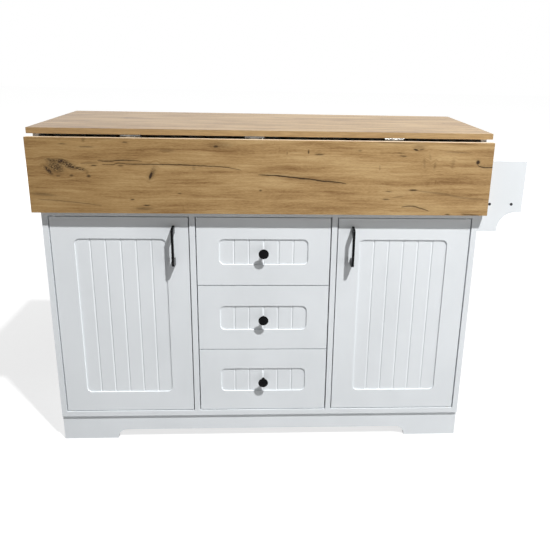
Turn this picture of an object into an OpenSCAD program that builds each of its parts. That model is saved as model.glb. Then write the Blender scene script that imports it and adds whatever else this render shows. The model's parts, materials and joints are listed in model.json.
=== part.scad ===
// Drop leaf kitchen island. Three equal bays (door, three drawers, door) stand on a plinth
// with a cut-out foot line. An open niche runs above them under the worktop, a leaf hangs in
// front of the niche on three hinges, and a small rack is fixed to the right end.
// X runs along the front, Y from the front to the back, Z up from the floor. Millimetres.

/* [Boards] */
// Thickness of every carcass board
board_t = 15; // [14:0.5:18]
// Clear width of each of the three bays
bay_w = 370; // [340:2:440]
// Depth of the carcass from its front edge to its back edge
carcass_d = 400; // [390:5:460]
// Clear height of the bays behind the doors and drawers
bay_h = 594; // [570:2:660]
// Clear height of the open niche under the worktop
niche_h = 202; // [200:1:260]
// Thickness of the bottom board under the bays
bottom_t = 16; // [14:0.5:20]
// Thickness of the back panel
back_t = 5; // [3:0.5:8]
// Distance of the back panel from the rear edge
back_inset = 12; // [12:1:20]
// Depth of the groove that holds the back panel
back_groove_d = 6; // [4:0.5:8]
// Distance of the niche partitions behind the front edge
partition_setback = 60; // [50:1:120]

/* [Dowels] */
// Diameter of the dowels that join the boards
dowel_d = 8; // [6:0.5:8]
// Length of a dowel
dowel_l = 28; // [24:1:34]
// Depth of a dowel in the face of a board
dowel_face_l = 9; // [7:0.5:10]
// Distance of the dowels from the ends of a joint
dowel_inset = 50; // [30:1:60]

/* [Plinth] */
// Height of the plinth boards
plinth_h = 79; // [70:1:120]
// Distance of the plinth behind the front and back edges
plinth_setback = 6; // [3:1:30]
// Width of each foot left beside the cut-out
foot_w = 156; // [110:1:200]
// Height of the cut-out in the plinth
foot_cut_h = 29; // [24:1:50]
// Radius of the upper corners of the cut-out
foot_cut_r = 28; // [10:1:30]

/* [Worktop and leaf] */
// Thickness of the worktop and of the leaf
worktop_t = 15; // [12:0.5:22]
// Overhang of the worktop past each end of the carcass
side_overhang = 15; // [4:1:25]
// Overhang of the worktop past the front of the carcass
front_overhang = 4; // [4:1:40]
// Overhang of the worktop past the back of the carcass
back_overhang = 9; // [0:1:30]
// Height of the hanging leaf
leaf_h = 196; // [170:1:197]

/* [Leaf hinges] */
// Position of the left hinge from the middle
hinge_left_x = -340; // [-420:1:-250]
// Position of the middle hinge from the middle
hinge_mid_x = -25; // [-80:1:80]
// Position of the right hinge from the middle
hinge_right_x = 338; // [250:1:420]
// Width of one hinge
hinge_w = 50; // [40:1:70]
// Length of a hinge plate from the hinge axis
hinge_plate_l = 25; // [23:1:32]
// Thickness of a hinge plate
hinge_plate_t = 1.2; // [1:0.1:1.8]
// Diameter of the rolled barrel
barrel_d = 5.2; // [5.2:0.1:5.4]
// Diameter of the hinge pin
hinge_pin_d = 2.5; // [2:0.1:2.8]
// Distance of the hinge axis from the board faces
hinge_drop = 2.5; // [2.4:0.1:2.5]
// Gap between the worktop edge and the hinge axis
hinge_edge_gap = 1.2; // [1.2:0.1:3]
// Gap between the leaf edge and the hinge axis
leaf_edge_gap = 4; // [3:0.1:6]

/* [Leaf stays] */
// Distance of both stay pivots from the hinge axis
stay_reach = 100; // [92:1:102]
// Length of each stay arm between its pivots
stay_arm_l = 95; // [90:1:96]
// Angle of the bracket pivot behind the vertical
stay_angle = 33; // [30:1:38]
// Width of a stay arm
stay_arm_w = 12; // [10:1:14]
// Thickness of a stay arm
stay_arm_t = 2.5; // [2:0.1:3]
// Diameter of the knee discs
knee_d = 24; // [18:1:24]
// Diameter of the stay pivots
stay_pin_d = 6; // [5:0.5:7]
// Stand-off of the stay pivot from the leaf
stay_standoff = 8; // [7.5:0.5:10]
// Thickness of the stay brackets
stay_plate_t = 2; // [1.5:0.1:3]

/* [Doors and drawer fronts] */
// Thickness of the doors and drawer fronts
front_t = 15; // [14:0.5:18]
// Gap around every door and drawer front
front_gap = 3; // [2.5:0.1:4]
// Distance of the fronts behind the carcass edge
front_setback = 2; // [0:0.5:4]
// Width of the flat border round the boarded field
field_margin = 60; // [50:1:70]
// Depth of the boarded field
field_depth = 3; // [2:0.5:4]
// Corner radius of the boarded field
field_r = 15; // [6:1:18]
// Number of boards drawn in the field
planks = 6; // [3:1:9]
// Width of the V groove between two boards
vgroove_w = 2.5; // [1.5:0.1:4]
// Depth of the V groove
vgroove_d = 1.5; // [0.8:0.1:2]

/* [Door pivots and catches] */
// Distance of the door pivot from the door edge
pivot_inset = 12; // [10:0.5:18]
// Diameter of the pivot pins
pivot_pin_d = 6; // [5:0.5:7]
// Length of a pivot pin inside the door
pivot_pin_l = 14; // [10:1:20]
// Outer diameter of the pivot bushes
bush_d = 10; // [9:0.5:11]
// Depth of a pivot bush in its board
bush_l = 10; // [8:0.5:11]
// Diameter of the flange on a pivot bush
bush_flange_d = 14; // [13:0.5:16]
// Thickness of the flange on a pivot bush
bush_flange_t = 1; // [0.8:0.1:1.2]
// Width of a magnetic catch
catch_w = 14; // [12:1:18]
// Height of a magnetic catch
catch_h = 40; // [30:1:50]
// Distance of the catch centre below the deck
catch_drop = 60; // [50:1:100]
// Thickness of the strike plate on the door
strike_t = 1.2; // [1:0.1:2]

/* [Handles and knobs] */
// Length of a door handle over its feet
handle_l = 112; // [108:1:140]
// Distance between the two handle screws
handle_pitch = 96; // [90:1:98]
// Projection of a door handle
handle_proj = 28; // [24:1:36]
// Width of a door handle
handle_w = 6.5; // [6:0.5:10]
// Height of each handle foot
handle_foot = 21; // [16:0.5:24]
// Thickness of the handle grip
handle_grip_t = 7; // [5:0.5:9]
// Distance that each end of the grip lies inside its foot
handle_splay = 3; // [2:0.5:8]
// Distance of the handle from the free edge of the door
handle_inset = 39.5; // [20:0.5:50]
// Distance of the handle centre below the door top
handle_drop = 78.5; // [70:0.5:300]
// Diameter of a drawer knob
knob_d = 28; // [24:1:34]
// Projection of a drawer knob from the boarded field
knob_proj = 25; // [20:1:30]
// Thickness of the knob's head with its crown
knob_head_t = 10; // [10:0.5:12]
// Diameter of the knob stem
knob_stem_d = 12; // [10:1:15]
// Rise of the knob's crown
knob_crown = 4; // [2:0.5:5]
// Diameter of the handle and knob screws
pull_screw_d = 4; // [3:0.5:4]

/* [Drawers] */
// Thickness of the drawer sides and back
drawer_side_t = 12; // [10:0.5:15]
// Length of a drawer box behind its front
drawer_l = 350; // [300:5:360]
// Height of a drawer box
drawer_box_h = 125; // [100:1:140]
// Distance of the box above the lower edge of its front
drawer_lift = 25; // [15:1:35]
// Thickness of the drawer bottom
drawer_bottom_t = 4; // [3:0.5:6]
// Distance of the drawer bottom above the lower edge of the box
drawer_bottom_lift = 12; // [8:1:16]
// Depth of the groove for the drawer bottom
drawer_groove_d = 6; // [4:0.5:6]
// Width of the space for a runner beside the box
runner_space = 12.7; // [12:0.1:16]
// Height of a runner
runner_h = 35; // [27:1:45]
// Distance of the rear end of a runner before the back of the drawer box
runner_end_gap = 2; // [2:1:20]
// Thickness of the runner steel
runner_t = 1.2; // [1:0.1:1.5]

/* [Shelves] */
// Height of the shelves above the cupboard floor
shelf_z = 300; // [200:5:400]
// Distance of a shelf behind the front edge
shelf_setback = 45; // [38:1:90]
// Clearance between a shelf and each side
shelf_gap = 0.8; // [0.5:0.1:1]
// Diameter of the shelf pins
shelf_pin_d = 5; // [4:0.5:7]
// Length of a shelf pin
shelf_pin_l = 16; // [14:1:20]
// Distance of the shelf pins from the shelf ends
shelf_pin_inset = 45; // [30:1:80]

/* [Rack] */
// Projection of the rack from the right end
rack_w = 117; // [100:1:150]
// Height of the rack end panels
rack_h = 195; // [180:1:230]
// Distance of the rack top below the worktop
rack_drop = 58; // [30:1:70]
// Radius of the hollow corner of the end panels
rack_notch_r = 50; // [35:1:55]
// Height of the straight edge under the hollow corner
rack_heel_h = 5; // [3:1:12]
// Width of the flat nose beside the hollow corner
rack_nose_w = 13; // [10:1:16]
// Height of the shelf middle above the panel bottom
rack_shelf_z = 77; // [72:1:90]
// Diameter of the rail
rack_rail_d = 12; // [8:1:16]
// Height of the rail middle above the shelf
rack_rail_z = 42; // [30:1:60]
// Depth of the blind holes for the rail
rack_rail_seat = 8; // [5:1:10]
// Distance between the two screws in an end panel
rack_screw_pitch = 60; // [40:1:70]
// Diameter of the rack screws
rack_screw_d = 5; // [4:0.5:6]
// Length of the rack screws
rack_screw_l = 50; // [40:5:60]

/* [Fits] */
// Radial clearance of pins that turn
running_fit = 0.05; // [0.03:0.01:0.1]
// Clearance of boards and screws that stay put
seat_fit = 0.1; // [0.05:0.05:0.2]
// Side clearance between parts that slide past each other
slide_gap = 0.3; // [0.2:0.05:0.4]

/* [Hidden] */
$fn = 48;
CUT = 1; // how far a cutting solid runs past the face that it opens

WHITE = "whitesmoke";
OAK = "burlywood";
STEEL = "silver";
BEECH = "wheat";
BLACK = "#1c1c1e";

// Levels, from the floor up
z_floor = plinth_h + bottom_t;
z_deck = z_floor + bay_h;
z_niche = z_deck + board_t;
z_under = z_niche + niche_h;
z_top = z_under + worktop_t;

// Places across the front, measured from the middle of the carcass
carcass_w = 3 * bay_w + 4 * board_t;
x_out = carcass_w / 2;
x_in = x_out - board_t;
x_div_in = bay_w / 2;
x_div_out = x_div_in + board_t;
back_y = carcass_d - back_inset - back_t;
top_x = x_out + side_overhang;

// Doors and drawer fronts
front_w = bay_w - 2 * front_gap;
door_h = bay_h - 2 * front_gap;
drawer_front_h = (bay_h - 4 * front_gap) / 3;
front_back_y = front_setback + front_t;
field_y = front_setback + field_depth;
door_x = x_div_out + front_gap + front_w / 2;
door_z = z_floor + bay_h / 2;
pivot_x = x_in - front_gap - pivot_inset;
pivot_y = front_setback + front_t / 2;
handle_x = x_div_out + front_gap + handle_inset;
handle_z = z_deck - front_gap - handle_drop;

// Leaf, hinge axis and stays
axis_y = -front_overhang - hinge_edge_gap;
axis_z = z_under - hinge_drop;
leaf_face_y = axis_y - hinge_drop - worktop_t;
hinge_xs = [hinge_left_x, hinge_mid_x, hinge_right_x];
knuckle_gap = slide_gap;
knuckle_mid_w = hinge_w * 0.4;
hinge_screw_d = 3;
hinge_screw_l = 11;
hinge_head_d = 5.6;
hinge_head_t = 1.3;
hinge_holes = [[-0.34, 0.62], [0, 0.8], [0.34, 0.62]];

// Stay pivots in the plane of the arms: the leaf pivot is given out from the axis along the
// raised leaf, the bracket pivot and the knee as they lie when the leaf hangs.
ear_down = stay_standoff - hinge_drop;
ear_out = sqrt(stay_reach ^ 2 - ear_down ^ 2);
leaf_pivot = [axis_y + ear_down, axis_z - ear_out];
side_pivot = [axis_y, axis_z] + stay_reach * [sin(stay_angle), -cos(stay_angle)];
apex = stay_angle - atan2(ear_down, ear_out);
knee_reach = stay_reach * cos(apex / 2) + sqrt(stay_arm_l ^ 2 - (stay_reach * sin(apex / 2)) ^ 2);
knee = [axis_y, axis_z]
    + knee_reach * [sin(stay_angle - apex / 2), -cos(stay_angle - apex / 2)];
lower_arm_x = stay_plate_t + slide_gap;
upper_arm_x = lower_arm_x + stay_arm_t + slide_gap;
ear_x = upper_arm_x + stay_arm_t + slide_gap;
stay_head_d = stay_pin_d + 4;
stay_head_t = 1.2;
stay_screw_step = 17;
stay_plate_edge = 8;
ear_foot_w = 18;
ear_foot_l = 44;
ear_screw_step = 28;

// Handles and knobs: corner radii of the handle, and how far a screw reaches into a pull
handle_outer_r = 8;
handle_inner_r = 5;
pull_seat = 10;
pull_head_t = 2.4;

// Drawer boxes: the runners start behind the fronts, the cabinet ones a little further back
box_x = x_div_in - runner_space;
box_end_y = front_back_y + drawer_l;
drawer_runner_y = front_back_y + 1;
cabinet_runner_y = front_back_y + 3;
runner_l = box_end_y - runner_end_gap - cabinet_runner_y;

// Rack: the side screws are given as heights above the panel bottom
rack_x = x_out + rack_w;
rack_top = z_under - rack_drop;
rack_z = rack_top - rack_h;
rack_shelf_w = rack_w - 2;
rack_shelf_top = rack_z + rack_shelf_z + board_t / 2;
rack_rail_x = x_out + rack_w - rack_nose_w;
rack_head_d = rack_screw_d + 3;
rack_head_h = 3;
rack_socket_w = rack_screw_d * 0.7;
rack_side_screws = [rack_h * 0.65, rack_h * 0.9];

// Middle of the whole object, which is moved to the origin
mid_x = (rack_x - top_x) / 2;
foremost_y = min(leaf_face_y, front_setback - handle_proj);
mid_y = (foremost_y + carcass_d + back_overhang) / 2;

// ---- Helpers ----

// Moves the object so that the middle of its outline stands on the origin
module in_place() {
    translate([-mid_x, -mid_y, 0]) children();
}

// A box from its low corner to its high corner
module block(low, high) {
    translate(low) cube(high - low);
}

// The left child and its mirror image on the right
module both_sides() {
    for (side = [0, 1]) mirror([side, 0, 0]) children();
}

// The child as it stands on the left (side 0) or mirrored to the right (side 1)
module on_side(side) {
    mirror([side, 0, 0]) children();
}

// A cylinder along X that starts at the given point
module x_rod(at, d, l) {
    translate(at) rotate([0, 90, 0]) cylinder(d = d, h = l);
}

// A cylinder along Y that starts at the given point
module y_rod(at, d, l) {
    translate(at) rotate([-90, 0, 0]) cylinder(d = d, h = l);
}

// A flat outline with round corners, centred on the origin
module round_rect(w, h, r) {
    square([w - 2 * r, h], center = true);
    square([w, h - 2 * r], center = true);
    for (x = [-1, 1], y = [-1, 1]) translate([x * (w / 2 - r), y * (h / 2 - r)]) circle(r);
}

function unit(v) = v / norm(v);

// Points of the arc of radius r that rounds the corner b between a and c
function corner_arc(a, b, c, r, steps) =
    let (
        to_a = unit(a - b),
        to_c = unit(c - b),
        half = acos(to_a * to_c) / 2,
        middle = b + unit(to_a + to_c) * r / sin(half),
        from = b + to_a * r / tan(half) - middle,
        to = b + to_c * r / tan(half) - middle,
        start = atan2(from.y, from.x),
        turn = (atan2(to.y, to.x) - start + 540) % 360 - 180
    )
    [for (i = [0:steps]) middle + r * [cos(start + turn * i / steps), sin(start + turn * i / steps)]];

// Draws a child given in a plane (first axis out from the front, second axis up) as a plate
// of thickness t that is centred on X
module side_profile(t) {
    rotate([90, 0, -90]) translate([0, 0, -t / 2]) linear_extrude(t) children();
}

// ---- Dowels ----

// The child at two places of a joint that runs from front to back
module at_pair(x, z, from, to, inset) {
    for (y = [from + inset, to - inset]) translate([x, y, z]) children();
}

// The child turned upside down
module downwards() {
    mirror([0, 0, 1]) children();
}

// The child at every dowel, with Z from the board that is drilled in its face to the board
// that is drilled in its edge. Joints back to back on one board have different insets.
module at_dowels() {
    side_x = board_t / 2 - x_out;
    divider_x = -x_div_in - board_t / 2;
    plinth_ys = [plinth_setback + board_t / 2, carcass_d - plinth_setback - board_t / 2];
    plinth_z = (foot_cut_h + plinth_h) / 2;
    far_inset = 2 * dowel_inset;
    both_sides() {
        at_pair(side_x, z_floor, 0, carcass_d, dowel_inset) children();
        at_pair(divider_x, z_floor, 0, back_y, dowel_inset) children();
        at_pair(divider_x, z_niche, partition_setback, back_y, far_inset) children();
        at_pair(divider_x, z_deck, 0, back_y, dowel_inset) downwards() children();
        at_pair(divider_x, z_under, partition_setback, back_y, far_inset) downwards() children();
        at_pair(side_x, z_under, 0, carcass_d, dowel_inset) downwards() children();
        at_pair(side_x, plinth_h, 0, carcass_d, far_inset) downwards() children();
        for (x = [x_out - far_inset, x_div_in])
            translate([-x, plinth_ys[0], plinth_h]) downwards() children();
        at_pair(-x_in, z_deck + board_t / 2, 0, back_y, dowel_inset) rotate([0, 90, 0]) children();
        for (y = plinth_ys) translate([-x_in, y, plinth_z]) rotate([0, 90, 0]) children();
    }
    for (end = [0, 1])
        translate([0, carcass_d / 2, plinth_z]) mirror([0, end, 0])
            translate([0, plinth_setback + board_t - carcass_d / 2, 0])
                rotate([-90, 0, 0]) children();
}

module dowel_holes() {
    at_dowels() translate([0, 0, -dowel_face_l - seat_fit])
        cylinder(d = dowel_d + 2 * seat_fit, h = dowel_l + 2 * seat_fit);
}

module dowels() {
    color(BEECH) in_place() at_dowels()
        translate([0, 0, -dowel_face_l]) cylinder(d = dowel_d, h = dowel_l);
}

// ---- Carcass ----

// The side panel on the left, before the holes that only the right one has
module side_board() {
    difference() {
        block([-x_out, 0, z_floor], [-x_in, carcass_d, z_under]);
        block(
            [-x_in - back_groove_d, back_y - seat_fit, z_floor - CUT],
            [-x_in + CUT, back_y + back_t + seat_fit, z_under + CUT]
        );
        shelf_pin_holes();
        dowel_holes();
        at_stay_screws() x_rod([-hinge_screw_l, 0, 0],
            hinge_screw_d + 2 * seat_fit, hinge_screw_l + CUT);
    }
}

module side_left() {
    color(WHITE) in_place() side_board();
}

module side_right() {
    color(WHITE) in_place() difference() {
        on_side(1) side_board();
        rack_side_screw_places() rack_screw_space();
    }
}

// Divider board beside the drawer bay, on the left
module divider_board() {
    difference() {
        block([-x_div_out, 0, z_floor], [-x_div_in, back_y, z_deck]);
        shelf_pin_holes();
        dowel_holes();
    }
}

module divider_left() {
    color(WHITE) in_place() divider_board();
}

module divider_right() {
    color(WHITE) in_place() on_side(1) divider_board();
}

module bottom_board() {
    color(WHITE) in_place() difference() {
        block([-x_out, 0, plinth_h], [x_out, carcass_d, z_floor]);
        block(
            [-x_in - back_groove_d, back_y - seat_fit, z_floor - back_groove_d],
            [x_in + back_groove_d, back_y + back_t + seat_fit, z_floor + CUT]
        );
        both_sides() translate([-pivot_x, pivot_y, z_floor - bush_l - seat_fit])
            cylinder(d = bush_d + 2 * seat_fit, h = bush_l + seat_fit + CUT);
        dowel_holes();
    }
}

module deck() {
    color(WHITE) in_place() difference() {
        block([-x_in, 0, z_deck], [x_in, back_y, z_niche]);
        both_sides() translate([-pivot_x, pivot_y, z_deck - CUT])
            cylinder(d = bush_d + 2 * seat_fit, h = bush_l + seat_fit + CUT);
        dowel_holes();
    }
}

module back_panel() {
    reach = x_in + back_groove_d - seat_fit;
    color(WHITE) in_place() block(
        [-reach, back_y, z_floor - back_groove_d + seat_fit],
        [reach, back_y + back_t, z_under]
    );
}

module niche_partitions() {
    color(WHITE) in_place() both_sides() difference() {
        block([-x_div_out, partition_setback, z_niche], [-x_div_in, back_y, z_under]);
        dowel_holes();
    }
}

// ---- Plinth ----

// A long plinth board with its cut-out, between the two plinth sides
module plinth_board(front_y) {
    cut_w = 2 * (x_out - foot_w);
    difference() {
        block([-x_in, front_y, 0], [x_in, front_y + board_t, plinth_h]);
        translate([0, front_y - CUT, 0]) rotate([90, 0, 0]) mirror([0, 0, 1])
            linear_extrude(board_t + 2 * CUT) {
                round_rect(cut_w, 2 * foot_cut_h, foot_cut_r);
            }
        dowel_holes();
    }
}

module plinth_front() {
    color(WHITE) in_place() plinth_board(plinth_setback);
}

module plinth_back() {
    color(WHITE) in_place() plinth_board(carcass_d - plinth_setback - board_t);
}

module plinth_sides() {
    color(WHITE) in_place() both_sides() difference() {
        block([-x_out, plinth_setback, 0], [-x_in, carcass_d - plinth_setback, plinth_h]);
        dowel_holes();
    }
}

module plinth_centre() {
    color(WHITE) in_place() difference() {
        block(
            [-board_t / 2, plinth_setback + board_t, foot_cut_h],
            [board_t / 2, carcass_d - plinth_setback - board_t, plinth_h]
        );
        dowel_holes();
    }
}

// ---- Worktop and leaf ----

// Raised leaf coordinates: Y out from the hinge axis, Z up. The child is shown hanging.
module hanging() {
    translate([0, axis_y, axis_z]) rotate([90, 0, 0]) mirror([0, 1, 0]) children();
}

// Worktop coordinates: Y in from the hinge axis, Z up
module at_axis() {
    translate([0, axis_y, axis_z]) children();
}

// The child at every screw of one leaf hinge plate, with Z up into the board
module at_hinge_screws() {
    for (x = hinge_xs, hole = hinge_holes)
        translate([x + hole[0] * hinge_w, hole[1] * hinge_plate_l, hinge_drop]) children();
}

module hinge_pilot() {
    translate([0, 0, -CUT]) cylinder(d = hinge_screw_d + 2 * seat_fit, h = hinge_screw_l + CUT);
}

// The child at the two screws of each stay ear, with Z up into the leaf
module at_ear_screws() {
    both_sides() for (y = [-1, 1])
        translate([
            -x_in + ear_x + stay_plate_t + ear_foot_w / 2,
            ear_out + y * ear_screw_step / 2,
            hinge_drop
        ]) children();
}

module worktop() {
    color(OAK) in_place() difference() {
        block([-top_x, -front_overhang, z_under], [top_x, carcass_d + back_overhang, z_top]);
        at_axis() at_hinge_screws() hinge_pilot();
        dowel_holes();
    }
}

module leaf() {
    color(OAK) in_place() hanging() difference() {
        block(
            [-top_x, leaf_edge_gap, hinge_drop],
            [top_x, leaf_edge_gap + leaf_h, hinge_drop + worktop_t]
        );
        at_hinge_screws() hinge_pilot();
        at_ear_screws() hinge_pilot();
    }
}

// One hinge plate with its rolled knuckles. outer picks the two end knuckles of the fixed
// plate, otherwise the middle knuckle of the moving plate is made.
module hinge_plate(outer) {
    end_w = (hinge_w - knuckle_mid_w) / 2;
    knuckles = outer
        ? [[-hinge_w / 2, end_w], [hinge_w / 2 - end_w, end_w]]
        : [[-knuckle_mid_w / 2 + knuckle_gap, knuckle_mid_w - 2 * knuckle_gap]];
    room = barrel_d / 2 + knuckle_gap;
    difference() {
        union() {
            block([-hinge_w / 2, room, hinge_drop - hinge_plate_t],
                [hinge_w / 2, hinge_plate_l, hinge_drop]);
            for (k = knuckles) {
                x_rod([k[0], 0, 0], barrel_d, k[1]);
                block([k[0], 0, hinge_drop - hinge_plate_t], [k[0] + k[1], room + CUT, hinge_drop]);
            }
        }
        x_rod([-hinge_w, 0, 0], hinge_pin_d + 2 * running_fit, 2 * hinge_w);
        for (hole = hinge_holes)
            translate([hole[0] * hinge_w, hole[1] * hinge_plate_l, 0])
                cylinder(d = hinge_screw_d + 2 * seat_fit, h = hinge_drop + CUT);
    }
}

module hinge_top_plates() {
    color(STEEL) in_place() at_axis() for (x = hinge_xs) translate([x, 0, 0]) hinge_plate(true);
}

module hinge_leaf_plates() {
    color(STEEL) in_place() hanging() for (x = hinge_xs) translate([x, 0, 0]) hinge_plate(false);
}

module hinge_pins() {
    color(STEEL) in_place() at_axis()
        for (x = hinge_xs) x_rod([x - hinge_w / 2, 0, 0], hinge_pin_d, hinge_w);
}

// A pan head screw whose head lies under a plate of thickness plate
module pan_screw(plate) {
    translate([0, 0, -plate - hinge_head_t]) cylinder(d = hinge_head_d, h = hinge_head_t);
    translate([0, 0, -plate - hinge_head_t / 2])
        cylinder(d = hinge_screw_d, h = plate + hinge_head_t / 2 + hinge_screw_l - CUT);
}

module worktop_screws() {
    color(STEEL) in_place() at_axis() at_hinge_screws() pan_screw(hinge_plate_t);
}

module leaf_screws() {
    color(STEEL) in_place() hanging() {
        at_hinge_screws() pan_screw(hinge_plate_t);
        at_ear_screws() pan_screw(stay_plate_t);
    }
}

// ---- Folding stays ----

// The child in the plane of the left stay: X in from the side panel
module at_stay(pivot) {
    translate([-x_in, pivot[0], pivot[1]]) children();
}

// The child at the three screws of the left bracket, which lie clear of the arm's sweep
module at_stay_screws() {
    at_stay(side_pivot) for (at = [[0, 1], [1, 1], [1, 0]])
        translate([0, at[0] * stay_screw_step, at[1] * stay_screw_step]) children();
}

// A pivot pin along X with a rivet head at its far end
module stay_pin(from, to, head_out) {
    x_rod([min(from, to), 0, 0], stay_pin_d, abs(to - from));
    x_rod([head_out ? to : to - stay_head_t, 0, 0], stay_head_d, stay_head_t);
}

module stay_side_brackets() {
    middle = stay_screw_step / 2;
    side = stay_screw_step + 2 * stay_plate_edge;
    color(STEEL) in_place() both_sides() {
        difference() {
            at_stay(side_pivot) translate([stay_plate_t / 2, middle, middle])
                side_profile(stay_plate_t) round_rect(side, side, stay_plate_edge - 1);
            at_stay_screws() x_rod([-CUT, 0, 0],
                hinge_screw_d + 2 * seat_fit, stay_plate_t + 2 * CUT);
        }
        at_stay(side_pivot) stay_pin(stay_plate_t / 2, upper_arm_x, true);
    }
}

module stay_side_screws() {
    color(STEEL) in_place() both_sides() at_stay_screws()
        rotate([0, -90, 0]) pan_screw(stay_plate_t);
}

// The ear on the leaf: a foot screwed to the leaf and a web that carries the pivot
module stay_leaf_brackets() {
    pin_z = hinge_drop - stay_standoff;
    color(STEEL) in_place() hanging() both_sides() difference() {
        translate([-x_in + ear_x, ear_out, 0]) {
            block([0, -ear_foot_l / 2, hinge_drop - stay_plate_t],
                [stay_plate_t + ear_foot_w, ear_foot_l / 2, hinge_drop]);
            block([0, -stay_arm_w / 2, pin_z],
                [stay_plate_t, stay_arm_w / 2, hinge_drop - stay_plate_t / 2]);
            x_rod([0, 0, pin_z], stay_arm_w, stay_plate_t);
            translate([0, 0, pin_z]) mirror([1, 0, 0])
                stay_pin(-stay_plate_t / 2, ear_x - lower_arm_x - stay_arm_t, true);
        }
        at_ear_screws() translate([0, 0, -stay_plate_t - CUT])
            cylinder(d = hinge_screw_d + 2 * seat_fit, h = stay_plate_t + 2 * CUT);
    }
}

// A stay arm between two points (Y, Z), with its hole at the first and its knee disc at the
// second. cap_out puts the rivet cap of the knee on the side of the panel.
module stay_arm(from, to, x, cap_out) {
    reach = norm(to - from);
    tilt = atan2(to[1] - from[1], to[0] - from[0]);
    translate([x, from[0], from[1]]) rotate([tilt, 0, 0]) {
        difference() {
            union() {
                x_rod([0, 0, 0], stay_arm_w, stay_arm_t);
                block([0, 0, -stay_arm_w / 2], [stay_arm_t, reach, stay_arm_w / 2]);
                x_rod([0, reach, 0], knee_d, stay_arm_t);
            }
            x_rod([-CUT, 0, 0], stay_pin_d + 2 * running_fit, stay_arm_t + 2 * CUT);
        }
        x_rod([cap_out ? -stay_head_t : stay_arm_t / 2, reach, 0],
            stay_head_d, stay_head_t + stay_arm_t / 2);
    }
}

module stay_lower_arms() {
    color(STEEL) in_place() both_sides() translate([-x_in, 0, 0])
        stay_arm(side_pivot, knee, lower_arm_x, true);
}

module stay_upper_arms() {
    color(STEEL) in_place() both_sides() translate([-x_in, 0, 0])
        stay_arm(leaf_pivot, knee, upper_arm_x, false);
}

// ---- Doors ----

// A front board with a sunk field of boards, centred on the origin, its face on Y = 0
module boarded_front(w, h) {
    field_w = w - 2 * field_margin;
    field_h = h - 2 * field_margin;
    difference() {
        block([-w / 2, 0, -h / 2], [w / 2, front_t, h / 2]);
        translate([0, field_depth, 0]) rotate([90, 0, 0]) linear_extrude(field_depth + CUT)
            round_rect(field_w, field_h, min(field_r, field_h / 2 - CUT));
        for (i = [1:planks - 1])
            translate([(i / planks - 0.5) * field_w, field_depth, -field_h / 2])
                linear_extrude(field_h) polygon([
                    [-vgroove_w / 2, 0], [-vgroove_w / 2, -CUT],
                    [vgroove_w / 2, -CUT], [vgroove_w / 2, 0], [0, vgroove_d]
                ]);
    }
}

// The left door
module door_board() {
    difference() {
        translate([-door_x, front_setback, door_z]) boarded_front(front_w, door_h);
        for (up = [-1, 1]) at_pivot(up)
            translate([0, 0, front_gap]) cylinder(d = pivot_pin_d + 2 * seat_fit, h = pivot_pin_l);
        for (z = [-1, 1])
            y_rod([-handle_x, 0, handle_z + z * handle_pitch / 2],
                pull_screw_d + 2 * seat_fit, front_back_y + CUT);
    }
}

// The child at the lower (-1) or upper (1) pivot of the left door, Z from the board that
// holds the bush towards the middle of the door
module at_pivot(up) {
    translate([-pivot_x, pivot_y, up < 0 ? z_floor : z_deck])
        mirror([0, 0, up < 0 ? 0 : 1]) children();
}

module door_left() {
    color(WHITE) in_place() door_board();
}

module door_right() {
    color(WHITE) in_place() on_side(1) door_board();
}

// Pivot pins of the left door: a pin through bush and door with a collar between them
module pivot_pins() {
    for (up = [-1, 1]) at_pivot(up) {
        translate([0, 0, CUT - bush_l])
            cylinder(d = pivot_pin_d, h = bush_l - CUT + front_gap + pivot_pin_l - seat_fit);
        translate([0, 0, bush_flange_t + slide_gap])
            cylinder(d = pivot_pin_d + 3, h = front_gap - bush_flange_t - slide_gap);
    }
}

module door_left_pivot_pins() {
    color(STEEL) in_place() pivot_pins();
}

module door_right_pivot_pins() {
    color(STEEL) in_place() on_side(1) pivot_pins();
}

module door_pivot_bushes() {
    color(WHITE) in_place() both_sides() for (up = [-1, 1]) at_pivot(up) difference() {
        union() {
            translate([0, 0, -bush_l]) cylinder(d = bush_d, h = bush_l + bush_flange_t);
            cylinder(d = bush_flange_d, h = bush_flange_t);
        }
        translate([0, 0, -bush_l - CUT])
            cylinder(d = pivot_pin_d + 2 * running_fit, h = bush_l + bush_flange_t + 2 * CUT);
    }
}

module door_catches() {
    catch_y = front_back_y + strike_t + slide_gap;
    color(WHITE) in_place() both_sides() block(
        [-x_div_out - catch_w, catch_y, z_deck - catch_drop - catch_h / 2],
        [-x_div_out, catch_y + catch_w, z_deck - catch_drop + catch_h / 2]
    );
}

// Steel plate on the back of the left door that meets the catch
module strike_plate() {
    block(
        [-x_div_out - catch_w, front_back_y, z_deck - catch_drop - catch_h / 3],
        [-x_div_out - front_gap - 1, front_back_y + strike_t, z_deck - catch_drop + catch_h / 3]
    );
}

module door_left_strike() {
    color(STEEL) in_place() strike_plate();
}

module door_right_strike() {
    color(STEEL) in_place() on_side(1) strike_plate();
}

// ---- Handles and knobs ----

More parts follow.
